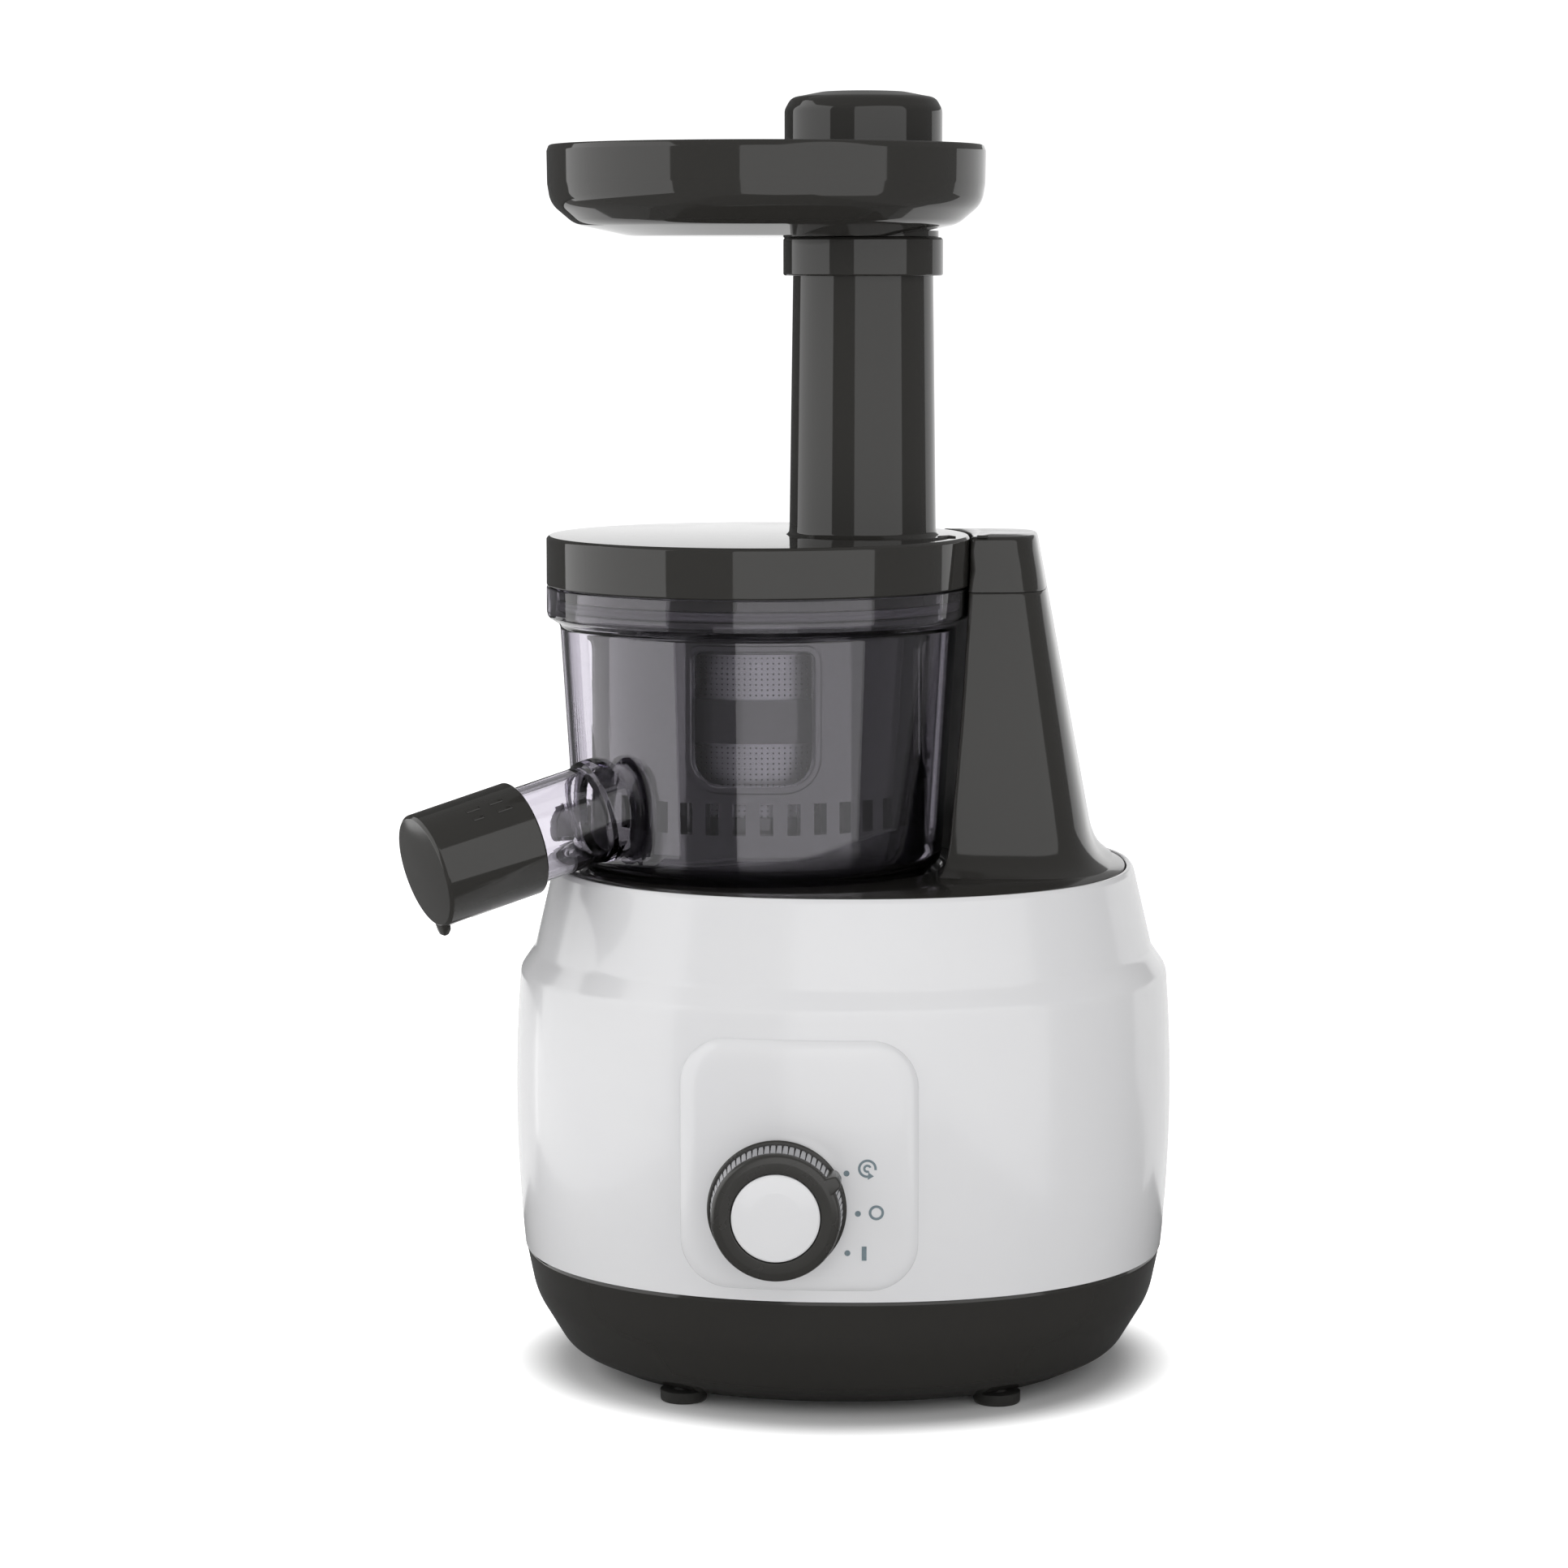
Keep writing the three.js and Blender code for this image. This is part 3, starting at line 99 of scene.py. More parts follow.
def ring_skin(rings, loop=False, caps=False):
    """Vertices and faces of a skin over equal rings; loop joins the last ring to the first."""
    sides = len(rings[0])
    verts = [p for ring in rings for p in ring]
    faces = []
    levels = len(rings) if loop else len(rings) - 1
    for level in range(levels):
        low = level * sides
        high = ((level + 1) % len(rings)) * sides
        for side in range(sides):
            nxt = (side + 1) % sides
            faces.append((low + side, low + nxt, high + nxt, high + side))
    if caps:
        faces.append(tuple(range(sides))[::-1])
        last = (len(rings) - 1) * sides
        faces.append(tuple(range(last, last + sides)))
    return verts, faces


def new_object(name, data):
    item = bpy.data.objects.new(name, data)
    bpy.context.scene.collection.objects.link(item)
    return item


def mesh_piece(name, verts, faces, sharp=35):
    """A closed piece from vertices in metres, its doubles merged and its faces turned outwards."""
    mesh = bpy.data.meshes.new(name)
    mesh.from_pydata([tuple(v) for v in verts], [], faces)
    tidy = bmesh.new()
    tidy.from_mesh(mesh)
    bmesh.ops.remove_doubles(tidy, verts=tidy.verts, dist=0.00001)
    bmesh.ops.dissolve_degenerate(tidy, edges=tidy.edges, dist=0.000005)
    bmesh.ops.recalc_face_normals(tidy, faces=tidy.faces)
    tidy.to_mesh(mesh)
    tidy.free()
    smooth_to(mesh, sharp)
    return new_object(name, mesh)


def smooth_to(mesh, sharp):
    mesh.polygons.foreach_set("use_smooth", [True] * len(mesh.polygons))
    mesh.set_sharp_from_angle(angle=math.radians(sharp))


def oval(half_width, half_depth, z, centre=body_centre, sides=192, power=plan_power):
    """One ring of the oval plan, in metres, from sizes in mm."""
    ring = []
    for side in range(sides):
        turn = 2 * math.pi * side / sides
        c, s = math.cos(turn), math.sin(turn)
        x = math.copysign(abs(c) ** (2 / power), c) * half_width
        y = math.copysign(abs(s) ** (2 / power), s) * half_depth
        ring.append((centre.x + x * mm, centre.y + y * mm, z * mm))
    return ring


def add(tree, kind, settings=None, inputs=None):
    """Adds a node with its settings; an input is a value or another node's socket."""
    node = tree.nodes.new(kind)
    for name, value in (settings or {}).items():
        setattr(node, name, value)
    for name, value in (inputs or {}).items():
        if isinstance(value, bpy.types.NodeSocket):
            tree.links.new(value, node.inputs[name])
        else:
            node.inputs[name].default_value = value
    return node


def new_material(name):
    """An empty material, its node tree and its object coordinates."""
    material = bpy.data.materials.new(name)
    material.use_nodes = True
    tree = material.node_tree
    tree.nodes.clear()
    return material, tree, add(tree, "ShaderNodeTexCoord").outputs["Object"]


def finish_material(material, tree, shader):
    add(tree, "ShaderNodeOutputMaterial", inputs={"Surface": shader.outputs[0]})
    return material


def noise(tree, place, size, detail):
    """A noise whose patches are about size mm."""
    inputs = {"Vector": place, "Scale": 1 / (size * mm), "Detail": detail}
    return add(tree, "ShaderNodeTexNoise", inputs=inputs).outputs["Fac"]


def blend(tree, factor, low, high):
    """A colour between two hex colours."""
    mix = add(tree, "ShaderNodeMix", {"data_type": "RGBA"}, {"Factor": factor})
    mix.inputs["A"].default_value = linear(low)
    mix.inputs["B"].default_value = linear(high)
    return mix.outputs["Result"]


def spread(tree, value, low, high, start=0.0, end=1.0):
    """A value from start to end made to run from low to high."""
    inputs = {"Value": value, "From Min": start, "From Max": end, "To Min": low, "To Max": high}
    return add(tree, "ShaderNodeMapRange", inputs=inputs).outputs["Result"]


def bumps(tree, height, depth, strength=1.0, below=None):
    """A normal raised by depth mm, on top of another one if it is given."""
    inputs = {"Height": height, "Distance": depth * mm, "Strength": strength}
    bump = add(tree, "ShaderNodeBump", inputs=inputs)
    if below is not None:
        tree.links.new(below, bump.inputs["Normal"])
    return bump.outputs["Normal"]


def moulded(name, colour, shade, rough, rough_swing, grain_mm, grain_depth, coat=0.0):
    """Injection-moulded plastic: faint cloudy colour, uneven gloss, and a fine skin over a slow ripple."""
    material, tree, place = new_material(name)
    wipe = noise(tree, place, 12, 5.0)
    skin = bumps(tree, noise(tree, place, grain_mm, 2.0), grain_depth, 0.5)
    shader = add(tree, "ShaderNodeBsdfPrincipled", inputs={
        "Base Color": blend(tree, noise(tree, place, 35, 3.0), shade, colour), "IOR": 1.5,
        "Roughness": spread(tree, wipe, rough - rough_swing, rough + rough_swing, 0.3, 0.7),
        "Normal": bumps(tree, noise(tree, place, 22, 1.0), 0.008, 0.3, skin),
        "Coat Weight": coat, "Coat Roughness": 0.04,
    })
    return finish_material(material, tree, shader)


def paint(piece, material, sharp=None):
    """Gives a piece its one material, and a carved piece its sharp edges again."""
    if sharp:
        smooth_to(piece.data, sharp)
    piece.data.materials.clear()
    piece.data.materials.append(material)


# Gloss white ABS, polished tool: clean, slightly cool, with soft broad reflections.
gloss_white_abs = moulded("gloss_white_abs", "#dcdcdd", "#d8d8da", 0.2, 0.03, 0.9, 0.004, coat=0.3)

ring_top = top_of("upper_housing") / mm
parting = bottom_of("upper_housing") / mm
belly_width = (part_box("upper_housing")[1].x - body_centre.x) / mm
belly_z = 92
belly_curve = 0.00102
ledge_top = 161.2


def belly(z):
    return belly_width - belly_curve * (z - belly_z) ** 2


housing_outer = rounded(
    [(belly(z), z, 0) for z in np.linspace(parting, 128, 16).tolist()]
    + [(belly(132), 132.2, 5), (101.0, 138.9, 7), (94.9, 164.7, 1.3), (93.9, ring_top, 0.6),
       (92.4, ring_top, 0.7), (92.3, ledge_top, 0)]
)
housing_inner = [
    (90.2, ledge_top), (90.2, 158.0), (92.2, 157.8), (98.0, 136), (102.4, 130), (104.6, 92), (102.2, parting),
]
housing_rings = [oval(a, a * depth_share, z) for a, z in housing_outer]
housing_rings += [oval(a, a * depth_share, z) for a, z in housing_inner]
upper_housing = mesh_piece("upper_housing_shell", *ring_skin(housing_rings, loop=True))
paint(upper_housing, gloss_white_abs)
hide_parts("upper_housing")
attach(upper_housing, "base")


# Base tub
# The dark lower housing: charcoal ABS, rounded in under the white shell, with air slots and
# four deep screw holes underneath. A fine shadow line parts it from the white shell.
charcoal_abs = moulded("charcoal_abs", "#2f2e2c", "#2c2b29", 0.1, 0.02, 0.7, 0.0006)
tub_bottom = bottom_of("base_tub") / mm
tub_top = top_of("base_tub") / mm
tub_outer = rounded([
    (2, tub_bottom, 0), (80.0, tub_bottom, 2.5), (91.3, 9.4, 12), (101.3, 26.0, 26),
    (104.2, tub_top - 1.0, 3),
    (103.9, tub_top, 0),
], 12)
tub_inner = [(101.6, tub_top), (99.4, 27), (89.5, 11.5), (76, 6.5), (2, 6.5)]
tub_rings = [oval(a, a * depth_share, z) for a, z in tub_outer + tub_inner]
base_tub = mesh_piece("base_tub_shell", *ring_skin(tub_rings, loop=True))


def settle(piece, step):
    """Leaves the result of a modifier as the plain mesh of its piece."""
    bpy.context.view_layer.update()
    result = bpy.data.meshes.new_from_object(piece.evaluated_get(bpy.context.evaluated_depsgraph_get()))
    piece.modifiers.remove(step)
    old = piece.data
    piece.data = result
    bpy.data.meshes.remove(old)


def carve(piece, cutters, operation="DIFFERENCE"):
    """Cuts or joins solids one after the other with an exact boolean."""
    for cutter in cutters:
        step = piece.modifiers.new("carve", "BOOLEAN")
        step.operation = operation
        step.solver = "EXACT"
        step.object = cutter
        settle(piece, step)
        bpy.data.objects.remove(cutter)


def turned(profile, centre, sides=128, turn=None):
    """A body of revolution from [radius, height] in mm about +Z, or turned; 0.01 stands for the axis."""
    rings = []
    for radius, height in profile:
        ring = []
        for side in range(sides):
            a = 2 * math.pi * side / sides
            point = Vector((radius * math.cos(a) * mm, radius * math.sin(a) * mm, height * mm))
            ring.append(tuple(Vector(centre) + (turn @ point if turn else point)))
        rings.append(ring)
    return ring_skin(rings, loop=True)


def turned_piece(name, profile, centre, sides=128, turn=None, sharp=35):
    return mesh_piece(name, *turned(profile, centre, sides, turn), sharp=sharp)


def box_mesh(low, high, turn=None, centre=Vector((0, 0, 0))):
    """Eight corners and six faces of a block in mm about a centre."""
    verts = []
    for z in (low[2], high[2]):
        for x, y in ((low[0], low[1]), (high[0], low[1]), (high[0], high[1]), (low[0], high[1])):
            point = Vector((x, y, z)) * mm
            verts.append(tuple(Vector(centre) + (turn @ point if turn else point)))
    faces = [(3, 2, 1, 0), (4, 5, 6, 7), (0, 1, 5, 4), (1, 2, 6, 5), (2, 3, 7, 6), (3, 0, 4, 7)]
    return verts, faces


motor_axis = middle("motor_can")
motor_axis.z = 0
slot_cutters = [
    mesh_piece("slot_cutter", *box_mesh((-17, y - 1.6, 0), (17, y + 1.6, 12), centre=motor_axis))
    for y in (-20, -12, -4, 4, 12, 20)
]
screw_names = [f"base_screw_{end}_{hand}" for end in ("front", "back") for hand in ("left", "right")]
for screw_name in screw_names:
    spot = middle(screw_name)
    spot.z = 0
    slot_cutters.append(turned_piece("sink_cutter", [(0.01, 0), (4.6, 0), (4.6, 6.6), (0.01, 6.6)], spot, 32))
carve(base_tub, slot_cutters)
paint(base_tub, charcoal_abs, 35)
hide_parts("base_tub")
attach(base_tub, "base")


# Feet
# Four black rubber pads, moulded with a shallow recess in the middle underneath and pressed through the tub
# floor by a stem.
def rubber(name, colour):
    """Moulded rubber: dull, dusty and finely pitted."""
    material, tree, place = new_material(name)
    shader = add(tree, "ShaderNodeBsdfPrincipled", inputs={
        "Base Color": blend(tree, noise(tree, place, 6, 6.0), colour, "#33322f"), "Roughness": 0.75,
        "Normal": bumps(tree, noise(tree, place, 0.6, 3.0), 0.05, 0.6),
    })
    return finish_material(material, tree, shader)


black_rubber = rubber("moulded_black_rubber", "#1b1b1a")
for end in ("front", "back"):
    for hand in ("left", "right"):
        spot = middle(f"foot_{end}_{hand}")
        spot.z = 0
        profile = rounded([
            (0.01, 0.6, 0), (4.4, 0.6, 0.2), (4.8, 0, 0.2), (7.4, 0, 0.8), (7.5, 3.7, 0.3), (3, 3.7, 0.1),
            (3, 8.5, 0.5), (0.01, 8.5, 0),
        ], 4)
        foot = turned_piece(f"foot_pad_{end}_{hand}", profile, spot, 64)
        paint(foot, black_rubber)
        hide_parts(f"foot_{end}_{hand}")
        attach(foot, "base")


# Base screws
# Zinc-plated pan-head screws with a cross recess, sunk deep under the tub.
def plain_metal(name, colour, rough, streak_mm):
    """Bare or plated metal with faint drawing lines."""
    material, tree, place = new_material(name)
    stretch = add(tree, "ShaderNodeMapping", inputs={"Vector": place, "Scale": (1.0, 1.0, 0.06)})
    streaks = noise(tree, stretch.outputs["Vector"], streak_mm, 4.0)
    shader = add(tree, "ShaderNodeBsdfPrincipled", inputs={
        "Base Color": linear(colour), "Metallic": 1.0,
        "Roughness": spread(tree, streaks, rough - 0.08, rough + 0.1),
        "Normal": bumps(tree, streaks, 0.02, 0.4),
    })
    return finish_material(material, tree, shader)


plated_steel = plain_metal("zinc_plated_steel", "#b9bbbd", 0.34, 0.8)
for screw_name in screw_names:
    spot = middle(screw_name)
    head = bottom_of(screw_name) / mm
    spot.z = 0
    profile = rounded([
        (0.01, head, 0), (3.0, head + 0.1, 0.6), (3.9, head + 0.8, 0.4), (3.9, head + 2.1, 0.1),
        (2.0, head + 2.1, 0.1), (2.0, 63, 0.2), (0.01, 64, 0),
    ], 4)
    screw = turned_piece(screw_name + "_body", profile, spot, 48)
    recess = [mesh_piece("recess", *box_mesh((-a, -b, head - 1), (a, b, head + 1.4), centre=spot))
              for a, b in ((1.9, 0.45), (0.45, 1.9))]
    carve(screw, recess)
    paint(screw, plated_steel, 35)
    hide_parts(screw_name)
    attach(screw, "base")


# Mains-cord gland
# A soft black sleeve in the back wall with a collar and a tapered end, where the mains lead comes out.
gland_low, gland_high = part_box("cord_gland")
gland_axis = middle("cord_gland")
gland_axis.y = 0
gland_root, gland_end = gland_low.y / mm, gland_high.y / mm
gland_radius = (gland_high.x - gland_low.x) / 2 / mm
facing_back = Matrix.Rotation(-math.pi / 2, 3, "X")
profile = rounded([
    (2.6, gland_root, 0), (5.0, gland_root, 0.4), (5.2, gland_end - 3.0, 0.1),
    (gland_radius, gland_end - 3.0, 0.3),
    (gland_radius, gland_end - 1.9, 0.7), (5.8, gland_end - 1.2, 0.5), (5.4, gland_end - 0.4, 0.2),
    (4.2, gland_end, 0.4), (3.0, gland_end, 0.3), (2.6, gland_end - 0.5, 0),
], 4)
cord_gland = turned_piece("cord_gland_sleeve", profile, gland_axis, 64, facing_back)
paint(cord_gland, black_rubber)
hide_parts("cord_gland")
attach(cord_gland, "base")


# Motor
# An open can motor standing in the tub: a zinc-plated drawn can and end plate, copper windings on
# the stator, a laminated rotor on its shaft, and a black fan that draws air through the floor slots.
def wound_copper(name):
    """Enamelled wire: fine windings that run round the coil, darker in the grooves between the turns."""
    material, tree, place = new_material(name)
    wire = add(tree, "ShaderNodeTexWave", {"bands_direction": "Z"}, {
        "Vector": place, "Scale": 0.31 / (0.8 * mm), "Distortion": 1.5, "Detail": 2.0, "Detail Scale": 2.0,
    }).outputs["Fac"]
    shader = add(tree, "ShaderNodeBsdfPrincipled", inputs={
        "Base Color": blend(tree, wire, "#5a2a16", "#b8683a"), "Metallic": 0.8, "Roughness": 0.32,
        "Normal": bumps(tree, wire, 0.3, 0.8),
    })
    return finish_material(material, tree, shader)


enamelled_copper = wound_copper("enamelled_copper_wire")
ground_steel = plain_metal("ground_steel", "#a6a8aa", 0.24, 0.5)
black_nylon = moulded("glass_filled_black_nylon", "#1e1e1d", "#1a1a19", 0.5, 0.06, 0.4, 0.01)
paint(nodes["motor_can"], plated_steel)
paint(nodes["motor_end_plate"], plated_steel)
paint(nodes["stator"], enamelled_copper)
paint(nodes["rotor"], ground_steel)
paint(nodes["cooling_fan"], black_nylon)


# Gearbox
# A cast alloy tray over the motor with a pressed cover: two spur stages of nylon and steel turn the
# output shaft, which stands up through a lip seal in the deck and drives the auger.
def cast_metal(name, colour):
    """Die-cast alloy: matt grey with a grainy skin and cloudy patches."""
    material, tree, place = new_material(name)
    grain = add(tree, "ShaderNodeTexVoronoi", inputs={"Vector": place, "Scale": 1 / (0.7 * mm)})
    shader = add(tree, "ShaderNodeBsdfPrincipled", inputs={
        "Base Color": blend(tree, noise(tree, place, 9, 4.0), "#7c7e80", colour), "Metallic": 0.9,
        "Roughness": 0.55, "Normal": bumps(tree, grain.outputs["Distance"], 0.06, 0.5),
    })
    return finish_material(material, tree, shader)


cast_alloy = cast_metal("die_cast_alloy", "#a0a2a4")
natural_nylon = moulded("natural_nylon", "#d9d5c4", "#cfcab6", 0.42, 0.05, 0.5, 0.008)
seal_rubber = rubber("nitrile_seal_rubber", "#26241f")
paint(nodes["gearbox_tray"], cast_alloy)
paint(nodes["gearbox_cover"], plated_steel)
paint(nodes["idler_gear"], natural_nylon)
paint(nodes["output_gear"], natural_nylon)
paint(nodes["output_shaft"], ground_steel)
paint(nodes["shaft_seal"], seal_rubber)


# Control board and rotary switch
# The circuit board stands behind the panel, and the switch behind the dial, its shaft turned by it.
def maths(tree, operation, first, second=0.0, third=0.0):
    return add(tree, "ShaderNodeMath", {"operation": operation}, {0: first, 1: second, 2: third}).outputs[0]


def board_laminate(name):
    """Green solder mask with copper tracks showing through as raised lines, and solder dots."""
    material, tree, place = new_material(name)
    tracks = add(tree, "ShaderNodeTexBrick", inputs={
        "Vector": place, "Scale": 1 / (6 * mm), "Mortar Size": 0.08, "Mortar Smooth": 0.1,
        "Color1": linear("#1f5a34"), "Color2": linear("#1c5230"), "Mortar": linear("#3f8a55"),
    })
    dots = add(tree, "ShaderNodeTexVoronoi", inputs={"Vector": place, "Scale": 1 / (3 * mm)})
    pads = maths(tree, "LESS_THAN", dots.outputs["Distance"], 0.14)
    tint = add(tree, "ShaderNodeMix", {"data_type": "RGBA"}, {"Factor": pads})
    tree.links.new(tracks.outputs["Color"], tint.inputs["A"])
    tint.inputs["B"].default_value = linear("#b9bcbd")
    shader = add(tree, "ShaderNodeBsdfPrincipled", inputs={
        "Base Color": tint.outputs["Result"], "Metallic": pads, "Roughness": 0.4,
        "Normal": bumps(tree, tracks.outputs["Fac"], 0.05),
    })
    return finish_material(material, tree, shader)


solder_mask = board_laminate("solder_mask_laminate")
paint(nodes["control_board"], solder_mask)
paint(nodes["rotary_switch"], black_nylon)
paint(nodes["switch_shaft"], ground_steel)


# Deck plate
# The dark top of the body with the round seat that the bowl locks into, moulded in charcoal ABS.
bowl_axis = middle("lid_gasket")
bowl_axis.z = 0
bowl_x = (bowl_axis.x - body_centre.x) / mm
deck_top = ring_top
deck_half = 92.0
seat_floor = 161.5
seat_radius = 59.2
rays = 192


def ray_ring(half_width, z):
    """The oval plan of the deck, met by rays from the bowl's axis, so that it joins round rings."""
    offset = bowl_axis - body_centre
    ring = []
    for ray in range(rays):
        turn = 2 * math.pi * ray / rays
        near, far = 0.0, 3 * half_width * mm
        for _ in range(40):
            mid = (near + far) / 2
            x = (offset.x + mid * math.cos(turn)) / (half_width * mm)
            y = (offset.y + mid * math.sin(turn)) / (half_width * depth_share * mm)
            if abs(x) ** plan_power + abs(y) ** plan_power > 1:
                far = mid
            else:
                near = mid
        ring.append((bowl_axis.x + near * math.cos(turn), bowl_axis.y + near * math.sin(turn), z * mm))
    return ring


def bowl_point(radius, turn, z, across=0.0):
    """A point in metres from its radius, turn and height round the bowl's axis, moved sideways by across."""
    x = radius * math.cos(turn) - across * math.sin(turn)
    y = radius * math.sin(turn) + across * math.cos(turn)
    return (bowl_axis.x + x * mm, bowl_axis.y + y * mm, z * mm)


deck_rings = [ray_ring(deck_half, seat_floor), ray_ring(deck_half, deck_top - 0.5),
              ray_ring(deck_half - 0.15, deck_top - 0.15), ray_ring(deck_half - 0.5, deck_top)]
seat_profile = rounded([
    (seat_radius + 3.2, deck_top, 0), (seat_radius + 2.2, deck_top - 0.7, 0.6),
    (seat_radius + 1.2, deck_top - 0.7, 0.4), (seat_radius, deck_top - 1.6, 0.8),
    (seat_radius, seat_floor, 0.8),
    (13.4, seat_floor, 0.6), (12.0, seat_floor - 1.0, 0.5), (12.0, seat_floor - 3, 0.1),
    (seat_radius + 2.4, seat_floor - 3, 0.4), (seat_radius + 2.4, deck_top - 2.8, 0),
], 4)
deck_rings += [[bowl_point(radius, 2 * math.pi * ray / rays, z) for ray in range(rays)]
               for radius, z in seat_profile]
deck_rings += [ray_ring(deck_half - 2, deck_top - 2.8), ray_ring(deck_half - 2, seat_floor)]
deck_plate = mesh_piece("deck_plate", *ring_skin(deck_rings, loop=True))
paint(deck_plate, charcoal_abs)
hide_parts("top_deck")
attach(deck_plate, "base")


# Tower
# The charcoal pillar beside the bowl, hollow behind the bowl's curve, that flares into the deck and
# carries the lid switch. It is moulded with the deck.
tower_power = 3.6
tower_clear = 69.5
tower_foot = 163.6
tower_wall = 2.4
tower_left, tower_front, tower_back = 16, -11, 36
right_lean, front_lean, back_lean = 0.196, 0.225, 0.12
flank_lean = 0.06
edge_ease = 1.6
dense_steps = 2400
lid_top = top_of("tower_cap") / mm
cap_low = bottom_of("tower_cap") / mm
cap_seam = cap_low + 2.2
tower_right = (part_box("tower_cap")[1].x - body_centre.x) / mm - right_lean * (lid_top - cap_low)


def tower_ring(z, spread, clear=tower_clear, arc=84, hollow=48, corner=7):
    """One level of the pillar: a squarish oval less the circle round the bowl, its two edges eased."""
    drop = lid_top - z
    high_x = tower_right + right_lean * drop + spread
    low_y = tower_front - front_lean * drop - spread
    high_y = tower_back + back_lean * drop + spread
    cx, cy = (high_x + tower_left) / 2, (low_y + high_y) / 2
    a, b = (high_x - tower_left) / 2, (high_y - low_y) / 2

    def on_oval(turn):
        c, s = math.cos(turn), math.sin(turn)
        x = math.copysign(abs(c) ** (2 / tower_power), c)
        y = math.copysign(abs(s) ** (2 / tower_power), s)
        return Vector((cx + a * x - flank_lean * b * (1 - y) * max(x, 0), cy + b * y))

    dense = [on_oval(-math.pi + 2 * math.pi * i / dense_steps) for i in range(dense_steps + 1)]
    outside = [math.hypot(p.x - bowl_x, p.y) >= clear for p in dense]
    first = next(i for i in range(dense_steps) if not outside[i] and outside[i + 1]) + 1
    last = next(i for i in range(first, dense_steps) if outside[i] and not outside[i + 1])
    outer = dense[first:last + 1]
    run = [0.0]
    for p, q in zip(outer, outer[1:]):
        run.append(run[-1] + (q - p).length)

    def along(distance):
        i = int(np.searchsorted(run, distance))
        i = min(max(i, 1), len(run) - 1)
        share = (distance - run[i - 1]) / max(run[i] - run[i - 1], 1e-9)
        return outer[i - 1].lerp(outer[i], min(max(share, 0), 1))

    ease_turn = edge_ease / clear
    start_turn = math.atan2(outer[-1].y, outer[-1].x - bowl_x) - ease_turn
    end_turn = math.atan2(outer[0].y, outer[0].x - bowl_x) + ease_turn

    def on_circle(turn):
        return Vector((bowl_x + clear * math.cos(turn), clear * math.sin(turn)))

    def eased(p, q, r):
        shares = np.linspace(0, 1, corner + 2)[1:-1].tolist()
        return [(1 - t) ** 2 * p + 2 * t * (1 - t) * q + t ** 2 * r for t in shares]

    points = [along(edge_ease + (run[-1] - 2 * edge_ease) * i / arc) for i in range(arc + 1)]
    points += eased(points[-1], outer[-1], on_circle(start_turn))
    points += [on_circle(t) for t in np.linspace(start_turn, end_turn, hollow).tolist()]
    points += eased(points[-1], outer[0], points[0])
    ring = []
    for p in points:
        x, y = p.x, p.y
        if z < deck_top + 12:
            wide, deep = abs(x / deck_half), abs(y / (deck_half * depth_share))
            reach = max((wide ** plan_power + deep ** plan_power) ** (1 / plan_power), 1.0)
            x, y = x / reach, y / reach
        ring.append((body_centre.x + x * mm, body_centre.y + y * mm, z * mm))
    return ring


flare = [(tower_foot, 6.0), (deck_top - 0.3, 6.0), (deck_top + 0.3, 5.2), (deck_top + 1.1, 4.0),
         (deck_top + 2.2, 2.8), (deck_top + 3.8, 1.7), (deck_top + 6.0, 0.8), (deck_top + 8.6, 0.25),
         (deck_top + 11.5, 0.0)]
levels = [(z, 0.0) for z in np.linspace(deck_top + 14, cap_seam - 1.2, 10).tolist()]
tower_rings = [tower_ring(z, spread) for z, spread in flare + levels]
tower_rings += [tower_ring(cap_seam - 0.35, -0.03), tower_ring(cap_seam - 0.18, -0.12)]
tower_rings += [tower_ring(z, -tower_wall, tower_clear + tower_wall)
                for z in (cap_seam - 0.18, deck_top, tower_foot)]
tower = mesh_piece("deck_tower", *ring_skin(tower_rings, loop=True), sharp=40)
paint(tower, charcoal_abs)
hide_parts("top_deck")
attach(tower, "base")


# Tower cap
# The block on top of the pillar, level with the lid, snapped on over the safety switch.
def capped(outer, inner):
    """A cover with its roof: outer rings up, roof, inner rings down."""
    verts, faces = ring_skin(outer + inner)
    sides = len(outer[0])
    top = len(outer) - 1
    faces = [f for f in faces if not (min(f) // sides == top and max(f) // sides == top + 1)]
    faces.append(tuple(range(top * sides, (top + 1) * sides)))
    faces.append(tuple(range((top + 1) * sides, (top + 2) * sides))[::-1])
    last = len(outer) + len(inner) - 1
    for side in range(sides):
        nxt = (side + 1) % sides
        faces.append((last * sides + side, last * sides + nxt, nxt, side))
    return verts, faces


cap_edge = [(cap_seam, -0.12), (cap_seam + 0.15, -0.03), (cap_seam + 0.6, 0)]
cap_edge += [(z, 0) for z in np.linspace(cap_seam + 4, lid_top - 1.6, 5).tolist()]
cap_edge += [(lid_top - 0.8, -0.08), (lid_top - 0.4, -0.28), (lid_top - 0.12, -0.6), (lid_top, -1.0)]
cap_outer = [tower_ring(z, spread, tower_clear - spread * 0.6) for z, spread in cap_edge]
cap_inner = [tower_ring(z, -2.5, tower_clear + 2.5) for z in (lid_top - 2.6, cap_seam)]
tower_cap = mesh_piece("tower_cap_cover", *capped(cap_outer, cap_inner), sharp=40)
paint(tower_cap, charcoal_abs)
etched_abs = moulded("etched_charcoal_abs", "#2a2927", "#272624", 0.5, 0.05, 0.35, 0.02)
for pillar in (tower, tower_cap):
    pillar.data.materials.append(etched_abs)
    for face in pillar.data.polygons:
        from_bowl = Vector((face.center.x - bowl_axis.x, face.center.y - bowl_axis.y)).length / mm
        if abs(from_bowl - tower_clear) < 0.3 and abs(face.normal.z) < 0.5:
            face.material_index = 1
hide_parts("tower_cap")
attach(tower_cap, "base")


